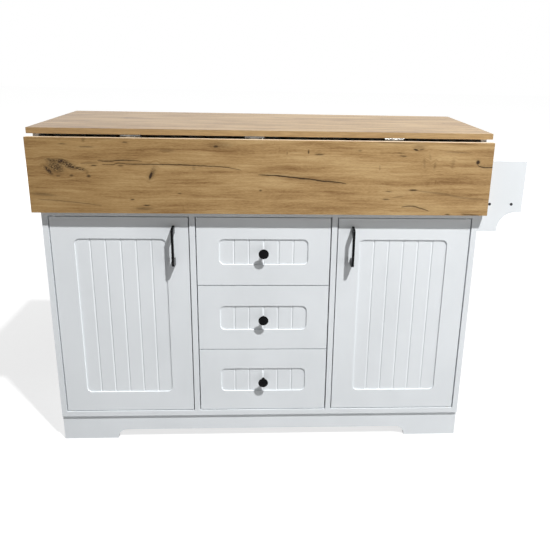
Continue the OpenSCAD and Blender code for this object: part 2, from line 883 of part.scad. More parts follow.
// Bow handle of the left door with splayed feet, and its two screws
module door_handle() {
    hollow_d = handle_proj - handle_grip_t;
    foot = [0, handle_l / 2];
    shoulder = [handle_proj, handle_l / 2 - handle_splay];
    heel = [0, handle_l / 2 - handle_foot];
    palm = [hollow_d, heel[1] - 2];
    outer_arc = corner_arc(foot, shoulder, [handle_proj, 0], handle_outer_r, 8);
    inner_arc = corner_arc([hollow_d, 0], palm, heel, handle_inner_r, 8);
    half = concat([foot], outer_arc);
    hollow = concat(inner_arc, [heel]);
    below = [for (i = [len(half) - 1:-1:0]) [half[i].x, -half[i].y]];
    hollow_below = [for (i = [len(hollow) - 1:-1:0]) [hollow[i].x, -hollow[i].y]];
    translate([-handle_x, front_setback, handle_z]) difference() {
        side_profile(handle_w) polygon(concat(half, below, hollow_below, hollow));
        for (z = [-1, 1])
            y_rod([0, -pull_seat, z * handle_pitch / 2],
                pull_screw_d + 2 * seat_fit, pull_seat + CUT);
    }
}

// The screws of the left handle, from the back of the door
module handle_screws() {
    for (z = [-1, 1]) translate([-handle_x, 0, handle_z + z * handle_pitch / 2])
        pull_screw(front_setback);
}

// A screw along Y from the back of a front into a pull that starts at pull_y
module pull_screw(pull_y) {
    start = pull_y - pull_seat + seat_fit;
    y_rod([0, start, 0], pull_screw_d, front_back_y + pull_head_t / 2 - start);
    y_rod([0, front_back_y, 0], 2 * pull_screw_d, pull_head_t);
}

module door_left_handle() {
    color(BLACK) in_place() {
        door_handle();
        handle_screws();
    }
}

module door_right_handle() {
    color(BLACK) in_place() on_side(1) {
        door_handle();
        handle_screws();
    }
}

// Mushroom knob as a revolved outline, its foot on Z = 0, with a hole for its screw
module knob_body() {
    r = knob_d / 2;
    waist = 1.5;
    lip = 0.8;
    head_z = knob_proj - knob_head_t;
    edge_z = knob_proj - knob_crown - waist;
    crown_r = (r * r + knob_crown * knob_crown) / (2 * knob_crown);
    sweep = asin((r - lip) / crown_r);
    stem = [for (a = [0:30:180])
        [knob_stem_d / 2 + waist * (1 - sin(a)), head_z * a / 180]];
    head = [[r - 2 * waist, head_z + lip], [r - lip, head_z + 2 * lip], [r, head_z + 4 * lip]];
    crown = [for (a = [sweep:-sweep / 8:0])
        [crown_r * sin(a), knob_proj + crown_r * (cos(a) - 1)]];
    rotate([90, 0, 0]) rotate_extrude() difference() {
        polygon(concat([[0, 0]], stem, head, [[r, edge_z]], crown));
        translate([-CUT, -CUT])
            square([CUT + pull_screw_d / 2 + seat_fit, CUT + pull_seat]);
    }
}

// ---- Drawers ----

// Middle height of a drawer front, counted from 0 at the bottom
function drawer_z(i) = z_floor + front_gap + drawer_front_h / 2 + i * (drawer_front_h + front_gap);

// Lower edge of a drawer box
function box_z(i) = drawer_z(i) - drawer_front_h / 2 + drawer_lift;

// Height of the runner middle
function runner_z(i) = box_z(i) + drawer_box_h / 2;

// The groove of one drawer for its bottom panel, as a slab
module bottom_slab(i, clearance) {
    reach = box_x - drawer_side_t + drawer_groove_d - seat_fit + clearance;
    low = box_z(i) + drawer_bottom_lift;
    block(
        [-reach, front_back_y - drawer_groove_d + seat_fit - clearance, low - clearance],
        [reach, box_end_y + (clearance > 0 ? CUT : 0), low + drawer_bottom_t + clearance]
    );
}

module drawer_front(i) {
    color(WHITE) in_place() difference() {
        translate([0, front_setback, drawer_z(i)]) boarded_front(front_w, drawer_front_h);
        bottom_slab(i, seat_fit);
        y_rod([0, 0, drawer_z(i)], pull_screw_d + 2 * seat_fit, front_back_y + CUT);
    }
}

// The two sides and the back of a drawer
module drawer_box(i) {
    color(WHITE) in_place() {
        both_sides() difference() {
            block([-box_x, front_back_y, box_z(i)],
                [-box_x + drawer_side_t, box_end_y, box_z(i) + drawer_box_h]);
            bottom_slab(i, seat_fit);
        }
        block(
            [-box_x + drawer_side_t + seat_fit, box_end_y - drawer_side_t,
                box_z(i) + drawer_bottom_lift + drawer_bottom_t + seat_fit],
            [box_x - drawer_side_t - seat_fit, box_end_y, box_z(i) + drawer_box_h]
        );
    }
}

module drawer_bottom(i) {
    color(WHITE) in_place() bottom_slab(i, 0);
}

module drawer_knob(i) {
    color(BLACK) in_place() translate([0, 0, drawer_z(i)]) {
        translate([0, field_y, 0]) knob_body();
        pull_screw(field_y);
    }
}

// A steel channel on its side: the web stands on X = 0 and the flanges reach inwards
module channel(depth, h, l) {
    rotate([90, 0, 0]) mirror([0, 0, 1]) linear_extrude(l) difference() {
        translate([0, -h / 2]) square([depth, h]);
        translate([runner_t, runner_t - h / 2]) square([depth, h - 2 * runner_t]);
    }
}

// Channels on the drawer sides, which ride inside the cabinet channels
module drawer_runners(i) {
    inner_h = runner_h - 2 * runner_t - 2 * slide_gap;
    depth = runner_space - 2 * runner_t;
    color(STEEL) in_place() both_sides()
        translate([-box_x, drawer_runner_y, runner_z(i)]) mirror([1, 0, 0])
            channel(depth, inner_h, runner_l);
}

module cabinet_runners() {
    depth = runner_space - runner_t - 1;
    color(STEEL) in_place() both_sides() for (i = [0:2])
        translate([-x_div_in, cabinet_runner_y, runner_z(i)]) channel(depth, runner_h, runner_l);
}

module drawer_bottom_front() { drawer_front(0); }
module drawer_bottom_box() { drawer_box(0); }
module drawer_bottom_base() { drawer_bottom(0); }
module drawer_bottom_knob() { drawer_knob(0); }
module drawer_bottom_runners() { drawer_runners(0); }
module drawer_middle_front() { drawer_front(1); }
module drawer_middle_box() { drawer_box(1); }
module drawer_middle_base() { drawer_bottom(1); }
module drawer_middle_knob() { drawer_knob(1); }
module drawer_middle_runners() { drawer_runners(1); }
module drawer_top_front() { drawer_front(2); }
module drawer_top_box() { drawer_box(2); }
module drawer_top_base() { drawer_bottom(2); }
module drawer_top_knob() { drawer_knob(2); }
module drawer_top_runners() { drawer_runners(2); }

// ---- Shelves ----

// The child at the four pins of the left shelf, X in from the board that holds the pin
module at_shelf_pins() {
    for (y = [shelf_setback + shelf_pin_inset, back_y - shelf_pin_inset]) {
        level = z_floor + shelf_z - shelf_pin_d / 2 - seat_fit;
        translate([-x_in, y, level]) children();
        translate([-x_div_out, y, level]) mirror([1, 0, 0]) children();
    }
}

module shelf_pin_holes() {
    depth = shelf_pin_l / 2 + seat_fit;
    at_shelf_pins() x_rod([-depth, 0, 0], shelf_pin_d + 2 * seat_fit, depth + CUT);
}

module shelf_pins() {
    color(STEEL) in_place() both_sides() at_shelf_pins()
        x_rod([-shelf_pin_l / 2, 0, 0], shelf_pin_d, shelf_pin_l);
}

module shelf_board() {
    block(
        [-x_in + shelf_gap, shelf_setback, z_floor + shelf_z],
        [-x_div_out - shelf_gap, back_y - shelf_gap, z_floor + shelf_z + board_t]
    );
}

module shelf_left() {
    color(WHITE) in_place() shelf_board();
}

module shelf_right() {
    color(WHITE) in_place() on_side(1) shelf_board();
}

// ---- Rack on the right end ----

// Outline of an end panel: X out from the carcass, Y up, with the hollow lower corner
module rack_outline() {
    nose_x = rack_w - rack_nose_w;
    difference() {
        square([rack_w, rack_h]);
        translate([nose_x, rack_heel_h]) circle(rack_notch_r);
        translate([nose_x - rack_notch_r, -CUT]) square([rack_w, rack_heel_h + CUT]);
        translate([nose_x, -CUT]) square([rack_w, rack_heel_h + rack_notch_r + CUT]);
    }
}

// Places a child at both end panels, with Y from the middle of the rack outwards
module at_rack_ends() {
    translate([0, carcass_d / 2, 0])
        for (end = [0, 1]) mirror([0, end, 0]) translate([0, -carcass_d / 2, 0]) children();
}

// The front end panel before it is moved
module rack_panel() {
    difference() {
        translate([x_out, board_t, rack_z]) rotate([90, 0, 0])
            linear_extrude(board_t) rack_outline();
        rack_rail_at(rack_rail_d + 2 * seat_fit, seat_fit);
        rack_face_screw_places() rack_screw_space();
        rack_side_screw_places() rack_screw_space();
    }
}

// The rail as a rod of the given diameter, longer at both ends by extra
module rack_rail_at(d, extra) {
    start = board_t - rack_rail_seat - extra;
    y_rod([rack_rail_x, start, rack_shelf_top + rack_rail_z], d, carcass_d - 2 * start);
}

// Screws through the front end panel into the shelf, Z along the screw from its head
module rack_face_screw_places() {
    for (x = [-1, 1])
        translate([x_out + rack_shelf_w / 2 + x * rack_screw_pitch / 2, 0, rack_z + rack_shelf_z])
            rotate([-90, 0, 0]) children();
}

// Screws through the side panel into the edge of both end panels
module rack_side_screw_places() {
    at_rack_ends() for (z = rack_side_screws)
        translate([x_in, board_t / 2, rack_z + z]) rotate([0, 90, 0]) children();
}

// A countersunk screw with a hexagon socket
module rack_screw() {
    difference() {
        union() {
            cylinder(d1 = rack_head_d, d2 = rack_screw_d, h = rack_head_h);
            cylinder(d = rack_screw_d, h = rack_screw_l);
        }
        translate([0, 0, -CUT]) cylinder(d = rack_socket_w, h = CUT + rack_head_h - 1, $fn = 6);
    }
}

// The hole for a rack screw
module rack_screw_space() {
    translate([0, 0, -CUT]) cylinder(d = rack_head_d + 2 * seat_fit, h = CUT);
    cylinder(d1 = rack_head_d + 2 * seat_fit, d2 = rack_screw_d + 2 * seat_fit, h = rack_head_h);
    cylinder(d = rack_screw_d + 2 * seat_fit, h = rack_screw_l + seat_fit);
}

module rack_front_panel() {
    color(WHITE) in_place() rack_panel();
}

module rack_back_panel() {
    color(WHITE) in_place() translate([0, carcass_d, 0]) mirror([0, 1, 0]) rack_panel();
}

module rack_shelf() {
    color(WHITE) in_place() difference() {
        block(
            [x_out, board_t, rack_z + rack_shelf_z - board_t / 2],
            [x_out + rack_shelf_w, carcass_d - board_t, rack_shelf_top]
        );
        at_rack_ends() rack_face_screw_places() rack_screw_space();
    }
}

module rack_rail() {
    color(STEEL) in_place() rack_rail_at(rack_rail_d, 0);
}

module rack_screws() {
    color(STEEL) in_place() {
        at_rack_ends() rack_face_screw_places() rack_screw();
        rack_side_screw_places() rack_screw();
    }
}

side_left();
side_right();
divider_left();
divider_right();
bottom_board();
deck();
back_panel();
niche_partitions();
dowels();
plinth_front();
plinth_back();
plinth_sides();
plinth_centre();
worktop();
leaf();
hinge_top_plates();
hinge_leaf_plates();
hinge_pins();
worktop_screws();
leaf_screws();
stay_side_brackets();
stay_side_screws();
stay_leaf_brackets();
stay_lower_arms();
stay_upper_arms();
door_left();
door_left_pivot_pins();
door_left_strike();
door_left_handle();
door_right();
door_right_pivot_pins();
door_right_strike();
door_right_handle();
door_pivot_bushes();
door_catches();
drawer_top_front();
drawer_top_box();
drawer_top_base();
drawer_top_knob();
drawer_top_runners();
drawer_middle_front();
drawer_middle_box();
drawer_middle_base();
drawer_middle_knob();
drawer_middle_runners();
drawer_bottom_front();
drawer_bottom_box();
drawer_bottom_base();
drawer_bottom_knob();
drawer_bottom_runners();
cabinet_runners();
shelf_left();
shelf_right();
shelf_pins();
rack_front_panel();
rack_back_panel();
rack_shelf();
rack_rail();
rack_screws();
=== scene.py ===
"""Looks of a kitchen island with a hinged drop leaf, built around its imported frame.

Lengths in the classes are millimetres, and everything in the scene is in metres: X runs along
the front towards the end rack, Y from the fronts to the back, Z up from the floor.
"""
import json
import logging
import math
from collections.abc import Iterable, Mapping, Sequence
from dataclasses import dataclass
from enum import Enum
from typing import ClassVar

import bmesh
import bpy
from mathutils import Matrix, Vector

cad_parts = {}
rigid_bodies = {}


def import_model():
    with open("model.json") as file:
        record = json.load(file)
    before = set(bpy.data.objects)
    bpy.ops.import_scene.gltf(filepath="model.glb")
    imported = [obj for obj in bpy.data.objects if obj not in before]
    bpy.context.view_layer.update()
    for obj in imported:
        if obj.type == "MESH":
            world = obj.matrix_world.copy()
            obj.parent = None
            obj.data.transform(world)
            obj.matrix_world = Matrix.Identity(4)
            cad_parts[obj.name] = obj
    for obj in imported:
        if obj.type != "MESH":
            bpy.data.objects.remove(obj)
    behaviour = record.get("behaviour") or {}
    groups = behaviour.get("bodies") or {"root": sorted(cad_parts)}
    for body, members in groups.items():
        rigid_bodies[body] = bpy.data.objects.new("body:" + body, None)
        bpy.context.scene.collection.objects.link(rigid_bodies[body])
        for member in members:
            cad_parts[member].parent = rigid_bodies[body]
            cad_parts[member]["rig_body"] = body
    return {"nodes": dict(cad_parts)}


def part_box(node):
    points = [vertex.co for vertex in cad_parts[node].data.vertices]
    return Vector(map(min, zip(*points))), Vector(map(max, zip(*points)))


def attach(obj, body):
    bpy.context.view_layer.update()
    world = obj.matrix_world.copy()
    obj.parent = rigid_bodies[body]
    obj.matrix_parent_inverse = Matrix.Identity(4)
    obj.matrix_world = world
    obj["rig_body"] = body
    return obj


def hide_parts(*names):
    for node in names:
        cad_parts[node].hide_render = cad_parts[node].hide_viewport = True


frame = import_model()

log = logging.getLogger("kitchen_island")

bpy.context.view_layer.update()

Colour = tuple[float, float, float, float]
Point = tuple[float, float]
Triple = tuple[float, float, float]

MM = 0.001  # A millimetre in metres
WHITE: Colour = (1.0, 1.0, 1.0, 1.0)
SEED_STEP: Triple = (1.0, 1.7, 0.6)  # How a noise's seed moves it along X, Y and Z
MIX_SHARE, MIX_UNDER, MIX_OVER, MIX_COLOUR = 0, 6, 7, 2  # A Mix node's sockets for colours

WELD_M = 1e-6  # Points closer than this many metres are one
FLAT_TURN = 0.4  # Faces that turn by less than these degrees are one flat face
SHARP_TURN = 28.0  # Edges that turn by more than these degrees are drawn sharp
SHOULDER_TURN = 40.0  # Shoulders of grooves turn by more than these degrees,
EDGE_TURN = 70.0  # and outer edges by more than these
FULL_TURN = 180.0
SHORTEST_SHOULDER = 20.0  # Shortest groove in mm whose shoulders are cut


class Slot(Enum):
    """Material slots of the record, given with the new pieces."""

    OAK = "oak"
    WHITE_BOARD = "white_board"
    BLACK_METAL = "black_metal"
    ZINC_STEEL = "zinc_steel"


class Axis(Enum):
    """Axes of the frame, by their place in a vector."""

    X = 0
    Y = 1
    Z = 2


class Side(Enum):
    """The two doors, as the record names them."""

    LEFT = "left"
    RIGHT = "right"


class Level(Enum):
    """The three drawers, as the record names them."""

    TOP = "top"
    MIDDLE = "middle"
    BOTTOM = "bottom"


def screen_colour(red: float, green: float, blue: float) -> Colour:
    """Turns a colour as a screen shows it into the linear colour of a shader.

    Args:
        red: red from 0 to 255.
        green: green from 0 to 255.
        blue: blue from 0 to 255.

    Returns:
        The linear colour with full alpha.
    """
    parts = []
    for part in (red, green, blue):
        share = part / 255
        parts.append(share / 12.92 if share <= 0.04045 else ((share + 0.055) / 1.055) ** 2.4)
    return (*parts, 1.0)


def shaded(colour: Colour, share: float = 0.93) -> Colour:
    """Darkens a colour to a share of its light."""
    return (*(part * share for part in colour[:3]), 1.0)


# ---- Shader maths ----


class Value:
    """An output in Python arithmetic: an expression on values adds its Math nodes."""

    def __init__(self, shader: "Shader", node: bpy.types.Node, key: int | str = 0) -> None:
        """Keeps one output of a node.

        Args:
            shader: the shader that the node belongs to.
            node: the node.
            key: the output's name or number.
        """
        self.shader = shader
        self.node = node
        self.key = key

    @property
    def socket(self) -> bpy.types.NodeSocket:
        """The output socket."""
        return self.node.outputs[self.key]

    def output(self, key: int | str) -> "Value":
        """Gives another output of the same node."""
        return Value(self.shader, self.node, key)

    def __add__(self, other: "Value | float") -> "Value":
        """Adds."""
        return self.shader.maths("ADD", self, other)

    def __radd__(self, other: float) -> "Value":
        """Adds to a number."""
        return self.shader.maths("ADD", other, self)

    def __sub__(self, other: "Value | float") -> "Value":
        """Subtracts."""
        return self.shader.maths("SUBTRACT", self, other)

    def __rsub__(self, other: float) -> "Value":
        """Subtracts from a number."""
        return self.shader.maths("SUBTRACT", other, self)

    def __mul__(self, other: "Value | float") -> "Value":
        """Multiplies."""
        return self.shader.maths("MULTIPLY", self, other)

    def __rmul__(self, other: float) -> "Value":
        """Multiplies a number."""
        return self.shader.maths("MULTIPLY", other, self)

    def __truediv__(self, other: "Value | float") -> "Value":
        """Divides."""
        return self.shader.maths("DIVIDE", self, other)

    def __rtruediv__(self, other: float) -> "Value":
        """Divides a number."""
        return self.shader.maths("DIVIDE", other, self)

    def __pow__(self, other: "Value | float") -> "Value":
        """Raises to a power."""
        return self.shader.maths("POWER", self, other)

    def __rpow__(self, other: float) -> "Value":
        """Raises a number to this power."""
        return self.shader.maths("POWER", other, self)

    def __abs__(self) -> "Value":
        """Takes the size without its sign."""
        return self.shader.maths("ABSOLUTE", self)

    def most(self, other: "Value | float") -> "Value":
        """Takes the larger of two."""
        return self.shader.maths("MAXIMUM", self, other)


class Shader:
    """The node tree of one material or world, and the few ways in which nodes are added to it."""

    def __init__(self, owner: bpy.types.Material | bpy.types.World) -> None:
        """Takes the owner's node tree and empties it.

        Args:
            owner: the material or world that is dressed.
        """
        owner.use_nodes = True
        self.owner = owner
        self.tree = owner.node_tree
        self.tree.nodes.clear()

    @classmethod
    def of_material(cls, name: str) -> "Shader":
        """Starts an empty material of that name."""
        return cls(bpy.data.materials.new(name))

    def node(
        self,
        kind: str,
        settings: Mapping[str, object] | None = None,
        inputs: Mapping[int | str, object] | None = None,
        output: int | str = 0,
    ) -> Value:
        """Adds one node.

        Args:
            kind: the node's type.
            settings: its settings, set first; stops are a ramp's, curve a float curve's points.
            inputs: values or links of its sockets, by name or number.
            output: the output that is wanted, by name or number.

        Returns:
            That output.
        """
        made = self.tree.nodes.new(kind)
        for name, value in (settings or {}).items():
            if name == "stops":
                self._set_stops(made.color_ramp, value)
            elif name == "curve":
                self._set_curve(made.mapping, value)
            else:
                setattr(made, name, value)
        for key, value in (inputs or {}).items():
            if isinstance(value, Value):
                self.tree.links.new(value.socket, made.inputs[key])
            else:
                made.inputs[key].default_value = value
        return Value(self, made, output)

    @staticmethod
    def _set_stops(ramp: bpy.types.ColorRamp, stops: Sequence[tuple[float, Colour]]) -> None:
        """Gives a colour ramp its stops.

        Args:
            ramp: the ramp.
            stops: place and colour of each stop, from left to right.
        """
        while len(ramp.elements) < len(stops):
            ramp.elements.new(1.0)
        for element, (place, colour) in zip(ramp.elements, stops):
            element.position = place
            element.color = colour

    @staticmethod
    def _set_curve(mapping: bpy.types.CurveMapping, points: Sequence[Point]) -> None:
        """Gives a float curve its points.

        Args:
            mapping: the curve's mapping.
            points: the points, from left to right.
        """
        curve = mapping.curves[0]
        while len(curve.points) < len(points):
            curve.points.new(0.5, 0.5)
        for knot, place in zip(curve.points, points):
            knot.location = place
        mapping.update()

    def maths(self, operation: str, *operands: Value | float) -> Value:
        """Adds a Math node."""
        return self.node("ShaderNodeMath", {"operation": operation}, dict(enumerate(operands)))

    def vectors(self, operation: str, *operands: Value | Sequence[float]) -> Value:
        """Adds a Vector Math node on vectors."""
        return self.node("ShaderNodeVectorMath", {"operation": operation}, dict(enumerate(operands)))

    def mix(self, share: Value | float, under: Value | Colour, over: Value | Colour) -> Value:
        """Mixes two colours, from the first at 0 to the second at 1."""
        inputs = {MIX_SHARE: share, MIX_UNDER: under, MIX_OVER: over}
        return self.node("ShaderNodeMix", {"data_type": "RGBA"}, inputs, MIX_COLOUR)

    def combine(self, x: Value | float, y: Value | float, z: Value | float) -> Value:
        """Makes a vector of three numbers."""
        return self.node("ShaderNodeCombineXYZ", None, {"X": x, "Y": y, "Z": z})

    def smooth(self, value: Value, low: float, high: float, top: float = 1.0) -> Value:
        """Rises smoothly while a value goes from one limit to the other.

        Args:
            value: the value.
            low: the limit at which the rise starts; it may be the larger one.
            high: the limit at which the rise ends.
            top: what it rises to.

        Returns:
            0 before the rise, and top after it.
        """
        return self.node(
            "ShaderNodeMapRange",
            {"interpolation_type": "SMOOTHSTEP"},
            {"Value": value, "From Min": low, "From Max": high, "To Max": top},
        )

    def noise(
        self, vector: Value, detail: float = 2.0, roughness: float = 0.5, seed: float = 0.0
    ) -> Value:
        """Adds a noise of unit size.

        Args:
            vector: where it is read, already scaled so that one lump is one unit.
            detail: number of finer layers.
            roughness: strength of the finer layers.
            seed: another number gives another pattern.

        Returns:
            The noise, from 0 to 1 and mostly near 0.5.
        """
        if seed:
            vector = self.vectors("ADD", vector, tuple(seed * step for step in SEED_STEP))
        inputs = {"Vector": vector, "Scale": 1.0, "Detail": detail, "Roughness": roughness}
        return self.node("ShaderNodeTexNoise", None, inputs)

    def place(self) -> Value:
        """Gives the point on the surface in millimetres, in the frame at rest."""
        here = self.node("ShaderNodeTexCoord", None, None, "Object")
        return self.vectors("MULTIPLY", here, (1 / MM,) * 3)

    def bump(self, height: Value, depth_mm: float, strength: float = 1.0) -> Value:
        """Turns a height from 0 to 1 into a normal, for relief of that depth."""
        inputs = {"Height": height, "Distance": depth_mm * MM, "Strength": strength}
        return self.node("ShaderNodeBump", None, inputs)

    def seen(self) -> Value:
        """Gives 1 where a ray shows a surface, straight or in a gloss, and 0 where it lights."""
        ray = self.node("ShaderNodeLightPath", None, None, "Is Camera Ray")
        return ray.most(ray.output("Is Glossy Ray")).most(ray.output("Is Transmission Ray"))

    def surface(self, **sockets: object) -> bpy.types.Material:
        """Ends the material with a Principled shader.

        Args:
            sockets: its sockets by name, with _ for a space.

        Returns:
            The finished material.
        """
        named = {key.replace("_", " "): value for key, value in sockets.items()}
        lit = self.node("ShaderNodeBsdfPrincipled", None, named)
        self.node("ShaderNodeOutputMaterial", None, {"Surface": lit})
        return self.owner


# ---- Finishes ----


@dataclass(frozen=True)
class Lumps:
    """A noise over the frame, with that many lumps to a millimetre along X, Y and Z."""

    scale: Triple
    detail: float = 2.0
    roughness: float = 0.5
    seed: float = 0.0

    def over(self, shader: Shader, place: Value) -> Value:
        """Lays the noise over places in mm."""
        spots = shader.vectors("MULTIPLY", place, self.scale)
        return shader.noise(spots, self.detail, self.roughness, self.seed)


@dataclass(frozen=True)
class CloudedFinish:
    """A finish whose two colours drift into each other, with a fine relief.

    The second colour comes in while the clouds go from one of the limits to the other. The
    relief also varies the roughness, where no rubbing is given for it.
    """

    name: str
    colour: Colour
    second: Colour
    clouds: Lumps
    limits: Point
    relief: Lumps
    depth_mm: float
    strength: float
    roughness: float
    unevenness: float
    specular: float = 0.5
    metallic: float = 0.0
    rubbing: Lumps | None = None

    def material(self) -> bpy.types.Material:
        """Builds the material.

        Returns:
            The material.
        """
        shader = Shader.of_material(self.name)
        place = shader.place()
        drift = shader.smooth(self.clouds.over(shader, place), *self.limits)
        relief = self.relief.over(shader, place)
        rubbed = self.rubbing.over(shader, place) if self.rubbing else relief
        return shader.surface(
            Base_Color=shader.mix(drift, self.colour, self.second),
            Metallic=self.metallic,
            Roughness=self.roughness + self.unevenness * (rubbed - 0.5),
            Specular_IOR_Level=self.specular,
            Normal=shader.bump(relief, self.depth_mm, self.strength),
        )


@dataclass(frozen=True)
class WhiteLacquer(CloudedFinish):
    """Cool white lacquered board with a faint orange peel."""

    name: str = "white_lacquer"
    colour: Colour = screen_colour(238, 242, 245)
    second: Colour = screen_colour(233, 237, 240)
    clouds: Lumps = Lumps((0.006, 0.006, 0.004), 3.0)
    limits: Point = (0.35, 0.7)
    relief: Lumps = Lumps((1 / 2.2,) * 3)
    depth_mm: float = 0.02
    strength: float = 0.35
    roughness: float = 0.38
    unevenness: float = 0.12
    specular: float = 0.45
    rubbing: Lumps | None = Lumps((0.03, 0.03, 0.01), 4.0, 0.6, 3.0)


@dataclass(frozen=True)
class BlackSatin(CloudedFinish):
    """Black satin powder coat of handles and knobs."""

    name: str = "black_satin"
    colour: Colour = screen_colour(4, 5, 7)
    second: Colour = screen_colour(12, 13, 15)
    clouds: Lumps = Lumps((0.08,) * 3, 3.0)
    limits: Point = (0.4, 0.75)
    relief: Lumps = Lumps((2.0,) * 3, 2.0, 0.6)
    depth_mm: float = 0.05
    strength: float = 0.5
    roughness: float = 0.22
    unevenness: float = 0.2
    specular: float = 0.09


@dataclass(frozen=True)
class Zinc(CloudedFinish):
    """Zinc plated steel with brush lines and a cloudy sheen."""

    name: str = "zinc_plate"
    colour: Colour = screen_colour(205, 205, 200)
    second: Colour = screen_colour(176, 178, 178)
    clouds: Lumps = Lumps((0.12,) * 3, 4.0, 0.6)
    limits: Point = (0.3, 0.7)
    relief: Lumps = Lumps((0.1, 2.5, 2.5), 3.0, 0.6)
    depth_mm: float = 0.03
    strength: float = 0.4
    roughness: float = 0.34
    unevenness: float = 0.25
    metallic: float = 0.95


@dataclass(frozen=True)
class Moulded(CloudedFinish):
    """Moulded white plastic or lacquered tube with a fine grain."""

    name: str = "white_plastic"
    colour: Colour = screen_colour(228, 228, 222)
    second: Colour = shaded(screen_colour(228, 228, 222))
    clouds: Lumps = Lumps((0.05,) * 3)
    limits: Point = (0.35, 0.7)
    relief: Lumps = Lumps((1.25,) * 3)
    depth_mm: float = 0.03
    strength: float = 0.3
    roughness: float = 0.45
    unevenness: float = 0.15


@dataclass(frozen=True)
class PlainBeech(CloudedFinish):
    """Plain beech of the dowels, with short dark flecks."""

    name: str = "plain_beech"
    colour: Colour = screen_colour(226, 196, 152)
    second: Colour = screen_colour(184, 146, 102)
    clouds: Lumps = Lumps((0.9,) * 3, 3.0, 0.6)
    limits: Point = (0.5, 0.7)
    relief: Lumps = Lumps((0.9,) * 3, 3.0, 0.6)
    depth_mm: float = 0.1
    strength: float = 0.4
    roughness: float = 0.6
    unevenness: float = 0.2


@dataclass(frozen=True)
class Knot:
    """A dark knot or fleck on an oak face, measured in mm from the face's lower left corner.

    REACH is how many times its own size its rim reaches, HEART and RIM are the limits of
    nearness between which they darken, RIM_SHARE is the rim's share of the depth, and the
    grain bends by PUSH round knots whose half height is BENDING_HEIGHT or more.
    """

    REACH: ClassVar[float] = 2.0
    HEART: ClassVar[Point] = (0.4, 0.85)
    RIM: ClassVar[Point] = (0.0, 0.75)
    RIM_SHARE: ClassVar[float] = 0.18
    PUSH: ClassVar[float] = 0.7
    BENDING_HEIGHT: ClassVar[float] = 6.0

    along: float
    across: float
    half_length: float
    half_height: float
    tilt: float = 0.0
    depth: float = 0.8
    speckled: bool = False

    def near(self, shader: Shader, face: Value) -> Value:
        """Measures how near the knot is.

        Args:
            shader: the shader to add to.
            face: place on the face in mm.

        Returns:
            0 from the knot's reach outwards, and 1 at its heart.
        """
        inputs = {
            "Vector": face,
            "Location": (self.along, self.across, 0.0),
            "Rotation": (0.0, 0.0, math.radians(self.tilt)),
            "Scale": (self.half_length * self.REACH, self.half_height * self.REACH, 1.0),
        }
        spot = shader.node("ShaderNodeMapping", {"vector_type": "TEXTURE"}, inputs)
        ball = {"gradient_type": "SPHERICAL"}
        return shader.node("ShaderNodeTexGradient", ball, {"Vector": spot}, "Fac")

    def mask(self, shader: Shader, near: Value, speckle: Value) -> Value:
        """Paints the knot with a faint brown rim.

        Args:
            shader: the shader to add to.
            near: how near the knot is.
            speckle: small dark grains, from 0 to 1.

        Returns:
            How dark the face is there, from 0 to 1.
        """
        heart = shader.smooth(near, *self.HEART, self.depth)
        rim = shader.smooth(near, *self.RIM, self.RIM_SHARE * self.depth)
        return rim + (heart * speckle if self.speckled else heart)

    def bends(self) -> bool:
        """Tells whether the knot is high enough to bend the grain."""
        return self.half_height >= self.BENDING_HEIGHT

    def push(self, near: Value, across: Value) -> Value:
        """Gives how far the knot pushes the grain aside, in mm."""
        return near * (across - self.across) * self.PUSH


@dataclass(frozen=True)
class Crack:
    """A dark drying crack through points (along, across) in mm on an oak face.

    LINE and RIM are the limits of the distance from its middle, in half widths, between which
    they fade in, RIM_SHARE is the rim's share of the depth, TAPER shapes the thin ends, and
    LEAST_WIDTH in mm keeps them from having no width at all.
    """

    LINE: ClassVar[Point] = (1.6, 0.3)
    RIM: ClassVar[Point] = (8.0, 1.0)
    RIM_SHARE: ClassVar[float] = 0.14
    TAPER: ClassVar[float] = 0.4
    LEAST_WIDTH: ClassVar[float] = 0.01

    points: tuple[Point, ...]
    half_width: float = 1.2
    depth: float = 0.85

    def mask(self, shader: Shader, face: Value) -> Value:
        """Paints the crack, which runs out at both ends, with a faint brown rim.

        Args:
            shader: the shader to add to.
            face: place on the face in mm.

        Returns:
            How dark the face is there, from 0 to 1.
        """
        start, end = self.points[0][0], self.points[-1][0]
        heights = [point[1] for point in self.points]
        low = min(heights) - 1
        span = max(heights) + 1 - low
        parts = shader.node("ShaderNodeSeparateXYZ", None, {"Vector": face})
        share = (parts - start) / (end - start)
        curve = [((x - start) / (end - start), (y - low) / span) for x, y in self.points]
        line = shader.node("ShaderNodeFloatCurve", {"curve": curve}, {"Value": share}) * span + low
        taper = ((share - share * share) * 4).most(0.0) ** self.TAPER
        width = taper * self.half_width + self.LEAST_WIDTH
        distance = abs(parts.output("Y") - line) / width
        rim = shader.smooth(distance, *self.RIM, self.RIM_SHARE * self.depth)
        return rim + shader.smooth(distance, *self.LINE, self.depth)


@dataclass(frozen=True)
class GrainLayer:
    """One layer of oak grain: its lumps' length and height in mm, and its weight in the tone."""

    ROUGHNESS: ClassVar[float] = 0.55

    length: float
    height: float
    detail: float
    seed: float
    weight: float = 1.0

    def over(self, shader: Shader, along: Value, grain: Value, seed: float) -> Value:
        """Lays the layer over a face.

        Args:
            shader: the shader to add to.
            along: place along the grain in mm.
            grain: place across the grain in mm, already bent.
            seed: the board's own seed.

        Returns:
            The layer, from about -0.5 to 0.5, without its weight.
        """
        spots = shader.combine(along / self.length, grain / self.height, 0.0)
        return shader.noise(spots, self.detail, self.ROUGHNESS, self.seed + seed) - 0.5


